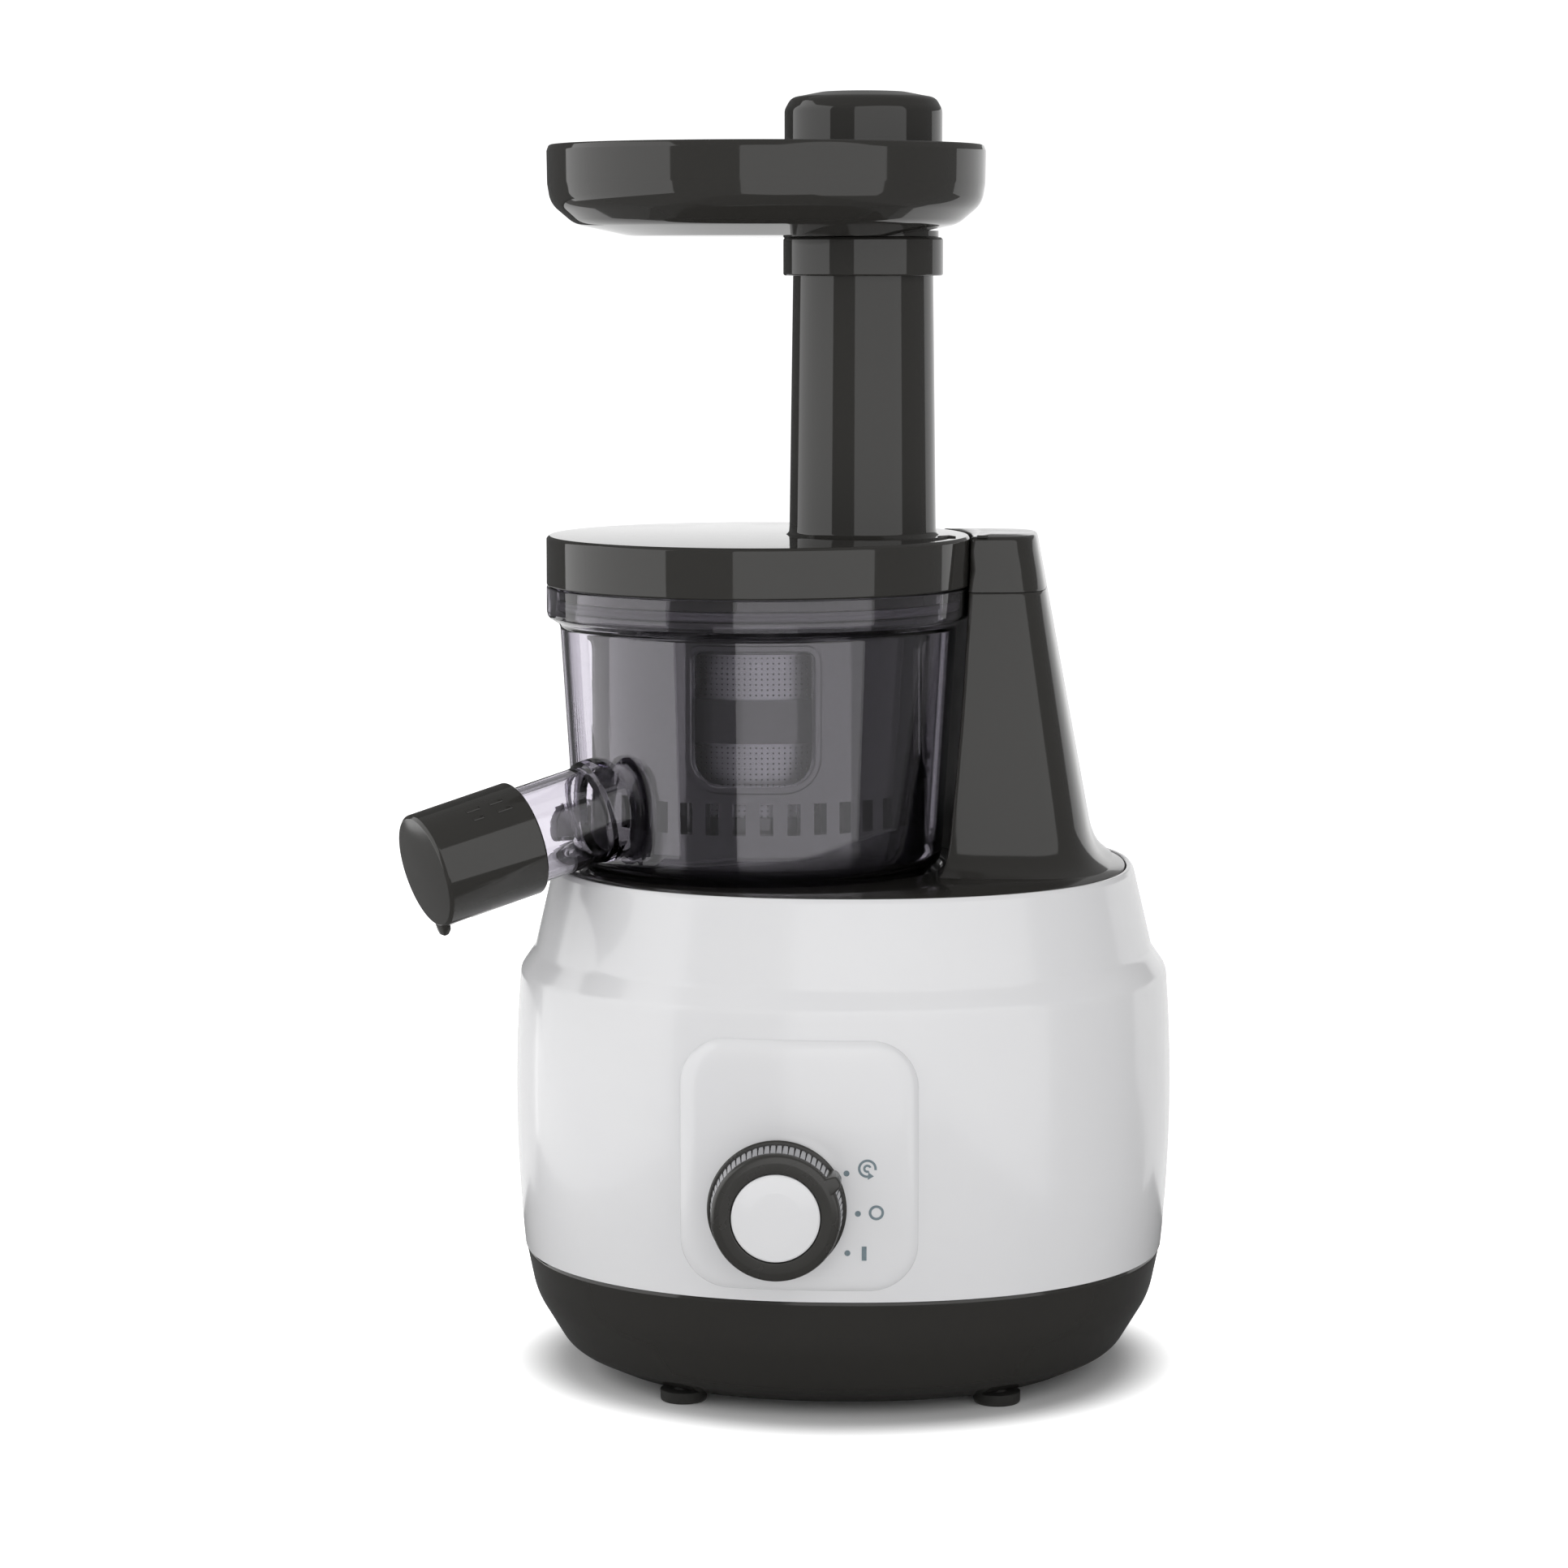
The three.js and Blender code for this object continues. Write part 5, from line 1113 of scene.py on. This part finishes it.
# Strainer mesh
# The perforated stainless sleeve inside the cup: thin sheet with rows of small square holes.
def perforated_sleeve(name, material_used):
    """A Geometry Nodes tree: a cylinder of squares in which every other square is open, given a thickness."""
    tree, sockets, given = new_group(name, {
        "Holes round": "NodeSocketInt", "Rows": "NodeSocketInt", "Radius": "NodeSocketFloat",
        "Height": "NodeSocketFloat", "Sheet": "NodeSocketFloat", "Bar": "NodeSocketFloat",
        "Place": "NodeSocketVector",
    }, "Sleeve")
    across = maths(tree, "MULTIPLY_ADD", given["Holes round"], 2.0, 1.0)
    up = maths(tree, "MULTIPLY_ADD", given["Rows"], 2.0, 2.0)
    grid = add(tree, "GeometryNodeMeshGrid",
               inputs={"Vertices X": across, "Vertices Y": up, "Size X": 1.0, "Size Y": 1.0})
    index = add(tree, "GeometryNodeInputIndex").outputs["Index"]
    column = maths(tree, "FLOOR", maths(tree, "DIVIDE", index, up))
    row = maths(tree, "SUBTRACT", index, maths(tree, "MULTIPLY", column, up))
    pair_column = maths(tree, "FLOOR", maths(tree, "DIVIDE", column, 2.0))
    odd_column = maths(tree, "SUBTRACT", column, maths(tree, "MULTIPLY", pair_column, 2.0))
    pair_row = maths(tree, "FLOOR", maths(tree, "DIVIDE", row, 2.0))
    odd_row = maths(tree, "SUBTRACT", row, maths(tree, "MULTIPLY", pair_row, 2.0))
    turn_step = maths(tree, "MULTIPLY_ADD", odd_column, given["Bar"], pair_column)
    turn = maths(tree, "DIVIDE", maths(tree, "MULTIPLY", turn_step, 2 * math.pi), given["Holes round"])
    rise_step = maths(tree, "MULTIPLY_ADD", odd_row, given["Bar"], pair_row)
    rows_high = maths(tree, "ADD", given["Rows"], given["Bar"])
    rise = maths(tree, "DIVIDE", maths(tree, "MULTIPLY", rise_step, given["Height"]), rows_high)
    spot = add(tree, "ShaderNodeCombineXYZ", inputs={
        "X": maths(tree, "MULTIPLY", maths(tree, "COSINE", turn), given["Radius"]),
        "Y": maths(tree, "MULTIPLY", maths(tree, "SINE", turn), given["Radius"]), "Z": rise,
    })
    rolled = add(tree, "GeometryNodeSetPosition",
                 inputs={"Geometry": grid.outputs["Mesh"], "Position": spot.outputs["Vector"]})
    squares_up = maths(tree, "SUBTRACT", up, 1.0)
    square_column = maths(tree, "FLOOR", maths(tree, "DIVIDE", index, squares_up))
    square_row = maths(tree, "SUBTRACT", index, maths(tree, "MULTIPLY", square_column, squares_up))
    open_column = maths(tree, "MODULO", square_column, 2.0)
    hole = maths(tree, "MULTIPLY", open_column, maths(tree, "MODULO", square_row, 2.0))
    kept = add(tree, "GeometryNodeDeleteGeometry", {"domain": "FACE"},
               {"Geometry": rolled.outputs["Geometry"]})
    tree.links.new(hole, kept.inputs["Selection"])
    joined = add(tree, "GeometryNodeMergeByDistance",
                 inputs={"Geometry": kept.outputs["Geometry"], "Distance": 0.00001})
    thick = add(tree, "GeometryNodeExtrudeMesh", inputs={
        "Mesh": joined.outputs["Geometry"], "Offset Scale": given["Sheet"], "Individual": False,
    })
    back = add(tree, "GeometryNodeFlipFaces", inputs={"Mesh": joined.outputs["Geometry"]})
    both = add(tree, "GeometryNodeJoinGeometry")
    tree.links.new(thick.outputs["Mesh"], both.inputs["Geometry"])
    tree.links.new(back.outputs["Mesh"], both.inputs["Geometry"])
    closed = add(tree, "GeometryNodeMergeByDistance",
                 inputs={"Geometry": both.outputs["Geometry"], "Distance": 0.00001})
    moved = add(tree, "GeometryNodeTransform",
                inputs={"Geometry": closed.outputs["Geometry"], "Translation": given["Place"]})
    real = add(tree, "GeometryNodeRealizeInstances", inputs={"Geometry": moved.outputs["Geometry"]})
    finish = add(tree, "GeometryNodeSetMaterial", inputs={"Geometry": real.outputs["Geometry"]})
    finish.inputs["Material"].default_value = material_used
    add(tree, "NodeGroupOutput", inputs={"Sleeve": finish.outputs["Geometry"]})
    return tree, sockets


stainless = plain_metal("stainless_sheet", "#808083", 0.36, 0.6)
strainer_mesh = new_object("strainer_sheet", bpy.data.meshes.new("strainer_sheet"))
mesh_low, mesh_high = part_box("strainer_mesh")
mesh_ease = 0.5 * mm
run_group(strainer_mesh, *perforated_sleeve("strainer_holes", stainless), {
    "Holes round": 150, "Rows": 36, "Radius": 42.7 * mm, "Height": mesh_high.z - mesh_low.z - 2 * mesh_ease,
    "Sheet": 0.5 * mm, "Bar": 0.72, "Place": Vector((bowl_axis.x, bowl_axis.y, mesh_low.z + mesh_ease)),
}, 25)
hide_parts("strainer_mesh")
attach(strainer_mesh, "bowl_body")


# Brush cage
# The smoky cage that turns round the strainer: four framed windows, a row of slots round its foot and
# an inner gear that the auger drives through the pinion.
cage_smoke = smoky_plastic("smoky_grey_cage", "#2b292f", 0.09, 1.75)
cage_inner = 49.6
cage_outer = 54.8
cage_low = bottom_of("brush_cage") / mm
cage_profile = rounded([
    (cage_inner, cage_low, 0), (cage_outer - 3.4, cage_low, 0.3), (cage_outer, cage_low + 5.0, 0.8),
    (cage_outer, 242.2, 0.5), (cage_outer - 0.6, 243.0, 0.5), (cage_inner + 0.3, 243.0, 0.2),
    (cage_inner, 242.6, 0)], 4)
cage = turned_piece("brush_cage_drum", cage_profile, bowl_axis, 160)
window_half, window_low = 18.8, 197
corner_high, corner_low = 3.0, 9.0
cage_cutters = [window_cutter(40, 60, window_half, window_low, 240, turn, corner_high, corner_low)
                for turn in quarter_turns]
slots = mesh_piece("cage_slot", *box_mesh((48, -2.1, 181.5), (57, 2.1, 191.5)))
run_group(slots, *ring_repeat("cage_slots", cage_smoke), {
    "Count": 40, "First turn": math.radians(4.5), "Tilt": (0, 0, 0), "Place": bowl_axis,
}, 35)
slots.data.materials.clear()
carve(cage, cage_cutters + [slots])


def frame_outline(high, grow, steps=12, fill=8):
    """The window's outline grown by so much, as [across, up], with points along its straight sides too."""
    corners = soft_block(window_half + grow, window_low - grow, high + grow, corner_high + grow, steps,
                         corner_low + grow)
    points = []
    for i, (across, up) in enumerate(corners):
        points.append((across, up))
        if i % (steps + 1) == steps:
            to_across, to_up = corners[(i + 1) % len(corners)]
            points += [(across + (to_across - across) * k / fill, up + (to_up - up) * k / fill)
                       for k in range(1, fill)]
    return points


def bent_frame(turn, high=239.6, width=2.2, inner=53.0, outer=56.0):
    """A raised frame round a window, bent to the drum."""
    rings = []
    for grow, radius in ((0.0, inner), (0.0, outer - 0.25), (0.3, outer), (width - 0.4, outer),
                         (width, outer - 0.35), (width, inner)):
        rings.append([bowl_point(radius, turn + math.asin(across / cage_outer), up)
                      for across, up in frame_outline(high, grow)])
    return ring_skin(rings, loop=True)


for turn in quarter_turns:
    carve(cage, [mesh_piece("frame", *bent_frame(turn))], "UNION")


def gear_outline(teeth, root, tip):
    """A gear's outline as [radius, turn]: four points to each tooth."""
    first_turn = math.radians(135)
    points = []
    for tooth in range(teeth):
        for share, radius in ((-0.3, root), (-0.16, tip), (0.16, tip), (0.3, root)):
            points.append((radius, first_turn + (tooth + share) / teeth * 2 * math.pi))
    return points


gear_top = 172
ring_pitch = 43.5
ring_teeth = gear_outline(29, ring_pitch - 1.08, ring_pitch + 3.0)
gear_rings = [[bowl_point(radius, turn, z) for radius, turn in ring_teeth] for z in (cage_low, gear_top)]
gear_rings += [[bowl_point(cage_inner + 0.6, turn, z) for _, turn in ring_teeth]
               for z in (gear_top, cage_low)]
carve(cage, [mesh_piece("ring_gear", *ring_skin(gear_rings, loop=True))], "UNION")
paint(cage, cage_smoke, 30)
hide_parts("brush_cage")
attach(cage, "brush_body")


# Brush wipers and pinion
# Four grey silicone blades in the cage wipe the strainer; a nylon pinion on a peg of the bowl turns it.
blade_outline = [(49.3, 1.6), (47.6, 1.5), (46.4, 0.6), (46.1, 0.0), (46.4, -0.6), (47.6, -1.5), (49.3, -1.6)]
for blade in range(4):
    name = f"brush_wiper_{blade + 1}"
    turn = math.radians(45 + 90 * blade)
    rings = []
    for z, ease in ((180.0, 0.5), (180.4, 0.1), (181, 0), (239, 0), (239.6, 0.1), (240.0, 0.5)):
        blunt = 1 - ease * 0.4
        rings.append([bowl_point(reach, turn, z, across * blunt) for reach, across in blade_outline])
    wiper = mesh_piece(f"wiper_blade_{blade + 1}", *ring_skin(rings, caps=True))
    paint(wiper, grey_silicone)
    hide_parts(name)
    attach(wiper, "brush_body")
paint(nodes["brush_pinion"], natural_nylon)


# Auger
# The pressing screw: two flights on a core that widens downwards, moulded in glass-filled charcoal
# nylon, with a gear and a bore for the drive shaft below, and a pin above that runs in the lid's boss.
screw_levels = 120
screw_sides = 288
screw_low = 181
screw_high = 245
flight_reach = 41.8
flight_turns = 1.4
flight_width = 0.32
core_low, core_high = 33, 15
screw_rings = []
for level in range(screw_levels + 1):
    rise = level / screw_levels
    core = core_low + (core_high - core_low) * rise ** 0.8
    ring = []
    for side in range(screw_sides):
        share = side / screw_sides - flight_turns * rise
        wave = share * 2 - round(share * 2)
        lift = min(1.0, max(0.0, 1.5 * (1 - abs(wave) / flight_width)))
        lift = lift * lift * (3 - 2 * lift)
        ring.append(bowl_point(core + (flight_reach - core) * lift, 2 * math.pi * side / screw_sides,
                               screw_low + (screw_high - screw_low) * rise))
    screw_rings.append(ring)
auger = mesh_piece("auger_screw", *ring_skin(screw_rings, caps=True))
gear_rings = [[bowl_point(radius, turn, z) for radius, turn in gear_outline(11, 13.5, 18.6)]
              for z in (cage_low, gear_top)]
carve(auger, [
    mesh_piece("auger_gear", *ring_skin(gear_rings, caps=True)),
    rod_piece("auger_neck", 13.6, 171, 182, bowl_axis),
    turned_piece("auger_pin", rounded([
        (0.01, 244, 0), (6.5, 244, 0), (5.2, 245.8, 1), (4, 247, 0.8), (4, 255.2, 0.6), (3.2, 256, 0.3),
        (0.01, 256, 0)], 4), bowl_axis, 64),
], "UNION")
carve(auger, [
    rod_piece("auger_sink", 9.6, 160, 174.3, bowl_axis, 64),
    rod_piece("auger_bore", 5.3, 160, top_of("output_shaft") / mm + 0.3, bowl_axis, 48),
])
screw_nylon = moulded("glass_filled_charcoal_nylon", "#3a393c", "#343336", 0.38, 0.06, 0.6, 0.012)
paint(auger, screw_nylon, 32)
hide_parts("auger")
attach(auger, "auger_body")


# Lid gasket
# A grey silicone ring with two soft lips between the bowl's rim and the lid.
gasket_low, gasket_high = bottom_of("lid_gasket") / mm, top_of("lid_gasket") / mm
gasket_profile = rounded([
    (62.3, gasket_low + 0.5, 0), (62.6, gasket_low, 0.3), (65.4, gasket_low, 0.3),
    (65.7, gasket_low + 0.7, 0.3),
    (65.3, gasket_low + 1.4, 0.3), (65.7, gasket_high - 0.7, 0.3), (65.4, gasket_high, 0.3),
    (62.6, gasket_high, 0.3), (62.3, gasket_high - 0.5, 0.2), (62.3, gasket_low + 0.5, 0)], 3)
gasket = turned_piece("lid_gasket_ring", gasket_profile[:-1], bowl_axis, 160)
paint(gasket, grey_silicone)
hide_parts("lid_gasket")
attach(gasket, "gasket_body")


# Lid with the feed chute
# Polished charcoal ABS, moulded in one with the tall feed chute that stands off the lid's middle; its
# skirt grips the bowl's rim and a boss under it holds the auger's pin.
polished_charcoal = moulded("polished_charcoal_abs", "#2f2e2c", "#2c2b29", 0.05, 0.015, 1.2, 0.0010)
lid_face = lid_top
lid_low = 256.9
chute_axis = middle("pusher_head")
chute_axis.z = 0
lid_profile = rounded([
    (0.01, 251.0, 0), (7.6, 251.0, 0.4), (8.0, 252, 0.3), (8.0, 270, 0.8), (62.3, 270, 0.6),
    (62.3, 252.9, 0.3),
    (65.7, 252.9, 0.3), (65.7, 268, 0.2), (66.4, 268, 0.2), (66.4, lid_low, 0.3), (68.5, lid_low, 0.3),
    (68.9, lid_low + 0.5, 0.3), (68.9, lid_face - 0.9, 0.6), (68.0, lid_face, 0.6), (0.01, lid_face, 0)], 5)
lid = turned_piece("lid_shell", lid_profile, bowl_axis, 224)
chute_profile = rounded([
    (0.01, lid_face - 2, 0), (25.2, lid_face - 2, 0), (25.2, lid_face - 0.2, 0.1),
    (24.0, lid_face + 0.9, 0.9),
    (23.85, lid_face + 3, 0.5), (22.6, 366.4, 0.4), (22.1, 367, 0.4), (0.01, 367, 0)], 5)
carve(lid, [turned_piece("chute_wall", chute_profile, chute_axis, 160)], "UNION")
feed_space = rod_piece("feed_space", 20, 249, 272.5, chute_axis, 128)
carve(feed_space, [rod_piece("feed_round", 42.4, 240, 280, bowl_axis, 128)], "INTERSECT")
carve(lid, [
    feed_space,
    turned_piece("chute_bore", rounded([
        (0.01, 272, 0), (20, 272, 0), (20, 366.2, 0.4), (20.8, 368, 0), (0.01, 368, 0)], 4), chute_axis, 128),
    rod_piece("pin_bore", 4.3, 240, 256.3, bowl_axis, 48),
])
paint(lid, polished_charcoal, 30)
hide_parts("lid")
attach(lid, "lid_body")


# Lock marks
# A small raised turning arrow on the lid beside the tower and a dash on the tower cap that it meets
# when the lid is locked, both with a matt top.
matt_mark = moulded("matt_charcoal_mark", "#2a2927", "#262523", 0.55, 0.05, 0.4, 0.01)


def raised_mark(name, outline):
    """A thin raised shape on the lid's face or the cap's, its outline in mm from the body's axis."""
    rings = [[(body_centre.x + x * mm, body_centre.y + y * mm, z * mm) for x, y in outline]
             for z in (lid_face - 0.2, lid_face + 0.5)]
    return mesh_piece(name, *ring_skin(rings, caps=True))


def bowl_spot(radius, angle):
    return bowl_x + radius * math.cos(math.radians(angle)), radius * math.sin(math.radians(angle))


mark_radius = 62.6
arrow_head = [bowl_spot(mark_radius - 3, -13), bowl_spot(mark_radius + 3, -13), bowl_spot(mark_radius, -8.6)]
lock_arrow = raised_mark("lock_arrow_stroke", ribbon(bowl_x, 0, mark_radius, 1.6, -27, -13.2, 20))
lock_head = raised_mark("lock_arrow_head", arrow_head)
for piece in (lock_arrow, lock_head):
    paint(piece, matt_mark)
    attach(piece, "lid_body")
lock_dash = raised_mark("lock_dash", ribbon(bowl_x, 0, 73.4, 3.4, -9.2, -7.9, 4))
paint(lock_dash, matt_mark)
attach(lock_dash, "base")


# Feed tray
# A deep round dish of polished charcoal ABS, set off to the left of the chute, with a collar under it
# that slips over the chute's end.
tray_axis = middle("feed_tray")
tray_axis.z = 0
tray_reach = (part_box("feed_tray")[1].x - tray_axis.x) / mm
tray_rim = top_of("feed_tray") / mm
tray_outer = rounded([
    (0.01, 368.6, 0), (44, 369.2, 20), (tray_reach - 9, 373.0, 10), (tray_reach - 1.2, 379.6, 9),
    (tray_reach - 0.15, 386, 6), (tray_reach, tray_rim - 2.0, 1), (tray_reach - 0.6, tray_rim - 0.4, 0.8),
    (tray_reach - 1.2, tray_rim, 0.5), (tray_reach - 1.9, tray_rim - 0.3, 0.4)], 9)
tray_inner = rounded([
    (tray_reach - 1.9, tray_rim - 0.3, 0), (tray_reach - 2.4, tray_rim - 1.6, 0.6),
    (tray_reach - 2.7, 386, 6),
    (tray_reach - 3.9, 381.0, 7), (tray_reach - 11, 375.3, 9), (44, 371.4, 20), (0.01, 371, 0)], 9)
tray = turned_piece("feed_tray_dish", tray_outer + tray_inner[1:], tray_axis, 224)
carve(tray, [turned_piece("tray_neck", rounded([
    (0.01, 356.6, 0), (25.5, 356.6, 0.3), (25.9, 357.1, 0.3), (25.9, 368.2, 0.4), (25.3, 368.9, 0.4),
    (24.4, 369.0, 0.3), (24.4, 371.0, 0), (0.01, 371.0, 0)], 4), chute_axis, 160)], "UNION")
carve(tray, [
    turned_piece("tray_throat", rounded([
        (0.01, 366, 0), (20, 366, 0), (20, 370.2, 0.3), (20.9, 371.6, 0.2), (20.9, 399, 0),
        (0.01, 399, 0)], 3), chute_axis, 128),
    rod_piece("collar_bore", 23.1, 350, 367.3, chute_axis, 128),
])
paint(tray, polished_charcoal, 30)
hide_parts("feed_tray")
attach(tray, "tray_body")


# Pusher
# A hollow plunger of the same plastic in the chute; its tall domed head stands on the tray's floor.
head_low = bottom_of("pusher_head") / mm
head_top = top_of("pusher_head") / mm
head_profile = rounded([
    (19.9, head_low, 0), (25.0, head_low, 0.4), (25.5, head_low + 0.6, 0.4), (25.5, head_top - 6.0, 4),
    (23.4, head_top - 2.2, 4), (14.0, head_top - 0.35, 9), (0.01, head_top, 0), (0.01, 405, 0),
    (19.9, 405, 1.0)], 8)
pusher_head = turned_piece("pusher_head_cap", head_profile, chute_axis, 160)
paint(pusher_head, polished_charcoal)
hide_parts("pusher_head")
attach(pusher_head, "pusher_body")
shaft_low = bottom_of("pusher_shaft") / mm
shaft_top = top_of("pusher_shaft") / mm
shaft_profile = rounded([
    (0.01, shaft_low, 0), (18.4, shaft_low, 1.0), (19.6, shaft_low + 1.2, 0.8), (19.6, shaft_low + 7.0, 0.3),
    (19.0, shaft_low + 7.4, 0.2), (19.0, shaft_low + 8.6, 0.2), (19.6, shaft_low + 9.0, 0.3),
    (19.6, shaft_top, 0.2),
    (17.4, shaft_top, 0.2), (17.4, shaft_low + 2.4, 1.0), (0.01, shaft_low + 2.2, 0)], 5)
pusher_shaft = turned_piece("pusher_plunger", shaft_profile, chute_axis, 128)
paint(pusher_shaft, polished_charcoal)
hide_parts("pusher_shaft")
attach(pusher_shaft, "pusher_body")


# Camera
# A long lens a little above the tray, looking slightly down and to the left.
camera_up, camera_dip, camera_pan = 361.5, 6.933, 1.595
camera = new_object("camera", bpy.data.cameras.new("camera"))
camera.data.sensor_width = 36
camera.data.lens = 98.87
camera.data.clip_end = 50
camera.location = body_centre + Vector((19.438, -1399.065, camera_up)) * mm
camera.rotation_euler = (math.radians(90 - camera_dip), 0, math.radians(camera_pan))
bpy.context.scene.camera = camera


# Studio
# A white floor and backdrop, two tall softboxes, a soft top and front light, and dark cards that only
# reflections and the view through the bowl see: painted dark reflections that draw the edges, and painted
# shade behind the bowl.
def card(name, corners):
    mesh = bpy.data.meshes.new(name)
    mesh.from_pydata(corners, [], [(0, 1, 2, 3)])
    piece = new_object(name, mesh)
    return piece


def paper(name, shade):
    """Studio paper: it glows plain white further out; close round the machine the glow fades to nothing,
    which paints a darker patch there and washes out the real shadow beyond it.
    """
    material, tree, place = new_material(name)
    fibre = add(tree, "ShaderNodeTexNoise", inputs={"Vector": place, "Scale": 400.0}).outputs["Fac"]
    matt = add(tree, "ShaderNodeBsdfDiffuse",
               inputs={"Color": linear(shade), "Normal": bumps(tree, fibre, 0.05)})
    path = add(tree, "ShaderNodeLightPath").outputs
    away = add(tree, "ShaderNodeVectorMath", {"operation": "SUBTRACT"}, {0: place, 1: tuple(body_centre)})
    plan = add(tree, "ShaderNodeVectorMath", {"operation": "DIVIDE"},
               {0: away.outputs["Vector"], 1: (1, depth_share, 1)})
    reach = add(tree, "ShaderNodeVectorMath", {"operation": "LENGTH"}, {0: plan.outputs["Vector"]})
    # Painted shadow: no glow within an oval about 9 cm round the machine, so the floor is darker there, and
    # full glow past 12 cm.
    shadow_patch_glow = add(tree, "ShaderNodeMapRange", {"interpolation_type": "SMOOTHSTEP"}, {
        "Value": reach.outputs["Value"], "From Min": 0.09, "From Max": 0.122, "To Min": 0.0, "To Max": 0.9,
    })
    direct = maths(tree, "MULTIPLY", path["Is Camera Ray"], shadow_patch_glow.outputs[0])
    glossy = maths(tree, "MULTIPLY", path["Is Glossy Ray"], 0.78)
    clear = maths(tree, "MULTIPLY", path["Is Transmission Ray"], 0.9)
    strength = maths(tree, "MAXIMUM", direct, maths(tree, "MAXIMUM", glossy, clear))
    light = add(tree, "ShaderNodeEmission", inputs={"Strength": strength})
    both = add(tree, "ShaderNodeAddShader")
    tree.links.new(matt.outputs[0], both.inputs[0])
    tree.links.new(light.outputs[0], both.inputs[1])
    return finish_material(material, tree, both)


white_paper = paper("white_paper", "#f4f4f4")
floor = card("floor", [(-6, -4, 0), (6, -4, 0), (6, 8, 0), (-6, 8, 0)])
paint(floor, white_paper)
floor.visible_glossy = False
floor.visible_transmission = False
for name, left, right, low, high in (("backdrop", -6, 9, -1.6, 1.1), ("backdrop_foot", -3.5, 6, -6, -1.6)):
    corners = [(left, 5, low), (right, 5, low), (right, 5, high), (left, 5, high)]
    paint(card(name, corners), white_paper)


def dark_card(name, corners, shade="#5a5a5a"):
    """A grey card that only gloss and glass see: it paints a dark reflection, and a dark patch in the view
    through the clear bowl.
    """
    material, tree, place = new_material(name + "_painted_dark")
    nap = add(tree, "ShaderNodeTexNoise", inputs={"Vector": place, "Scale": 300.0}).outputs["Fac"]
    dark_sheet_shader = add(tree, "ShaderNodeBsdfDiffuse",
               inputs={"Color": linear(shade), "Normal": bumps(tree, nap, 0.2)})
    piece = card(name, corners)
    paint(piece, finish_material(material, tree, dark_sheet_shader))
    piece.visible_camera = False
    piece.visible_diffuse = False
    piece.visible_shadow = False
    return piece


card_top = 1.6
# card_left: a painted dark reflection along the left edges of the lid, the tray and the shell.
side_flag = dark_card("card_left", [
    (-1.1, 0.75, -0.04), (-0.27, 1.7, -0.04), (-0.27, 1.7, card_top), (-1.1, 0.75, card_top)], "#6a6a6a")
side_flag.visible_transmission = False
# card_bowl_edge: painted shade seen through the bowl's left edge.
edge_flag = dark_card("card_bowl_edge", [
    (-1.2, 0.6, -card_top), (-0.55, 1.4, -card_top), (-0.55, 1.4, card_top), (-1.2, 0.6, card_top)])
edge_flag.visible_glossy = False
# card_floor: a painted dark reflection of the floor in the tub and the lower shell.
dark_card("card_floor", [
    (-0.24, -0.6, 0.001), (0.3, -0.6, 0.001), (0.3, 0.2, 0.001), (-0.24, 0.2, 0.001)], "#707070")
# Painted shade: two dark cards behind the bowl, seen only through it, where the tower's hollow shows dark.
flag_y, flag_low, flag_high = 0.14, 0.15, 0.262
for name, low_left, low_right, high_left, high_right in (("card_bowl_left", 0.030, 0.0384, 0.030, 0.0452),
                                                         ("card_bowl_right", 0.0395, 0.07, 0.0463, 0.07)):
    flag = dark_card(name, [(low_left, flag_y, flag_low), (low_right, flag_y, flag_low),
                            (high_right, flag_y, flag_high), (high_left, flag_y, flag_high)])
    flag.visible_glossy = False


def softbox(name, centre, target, width, height, radiance, mirrored=True):
    """A plain rectangular area lamp that faces its target with the given radiance."""
    data = bpy.data.lights.new(name, "AREA")
    data.shape = "RECTANGLE"
    data.size = width
    data.size_y = height
    data.energy = radiance * math.pi * width * height
    lamp = new_object(name, data)
    lamp.location = centre
    lamp.rotation_euler = (Vector(target) - Vector(centre)).to_track_quat("-Z", "Y").to_euler()
    lamp.visible_glossy = mirrored
    return lamp


softbox("softbox_left", (-1.2, -0.02, 0.63), (0, -0.02, 0.63), 2.1, 1.76, 1.25)
softbox("softbox_right", (0.62, -1.22, 0.5), (0.0, 0.0, 0.5), 2.2, 2.2, 1.0)
softbox("softbox_top", (0.0, 0.1, 2.0), (0.0, 0.0, 0.0), 2.0, 2.0, 1.4, mirrored=False)
softbox("softbox_front", (0.0, -2.2, 0.9), (0.0, 0.0, 0.1), 2.0, 1.5, 0.9, mirrored=False)
world = bpy.data.worlds.new("studio")
world.use_nodes = True
seen = add(world.node_tree, "ShaderNodeLightPath").outputs["Is Camera Ray"]
level = add(world.node_tree, "ShaderNodeMapRange", inputs={"Value": seen, "To Min": 0.25, "To Max": 1.0})
sky = world.node_tree.nodes["Background"].inputs
sky["Color"].default_value = (1, 1, 1, 1)
world.node_tree.links.new(level.outputs[0], sky["Strength"])
bpy.context.scene.world = world
bpy.context.scene.view_settings.view_transform = "Standard"
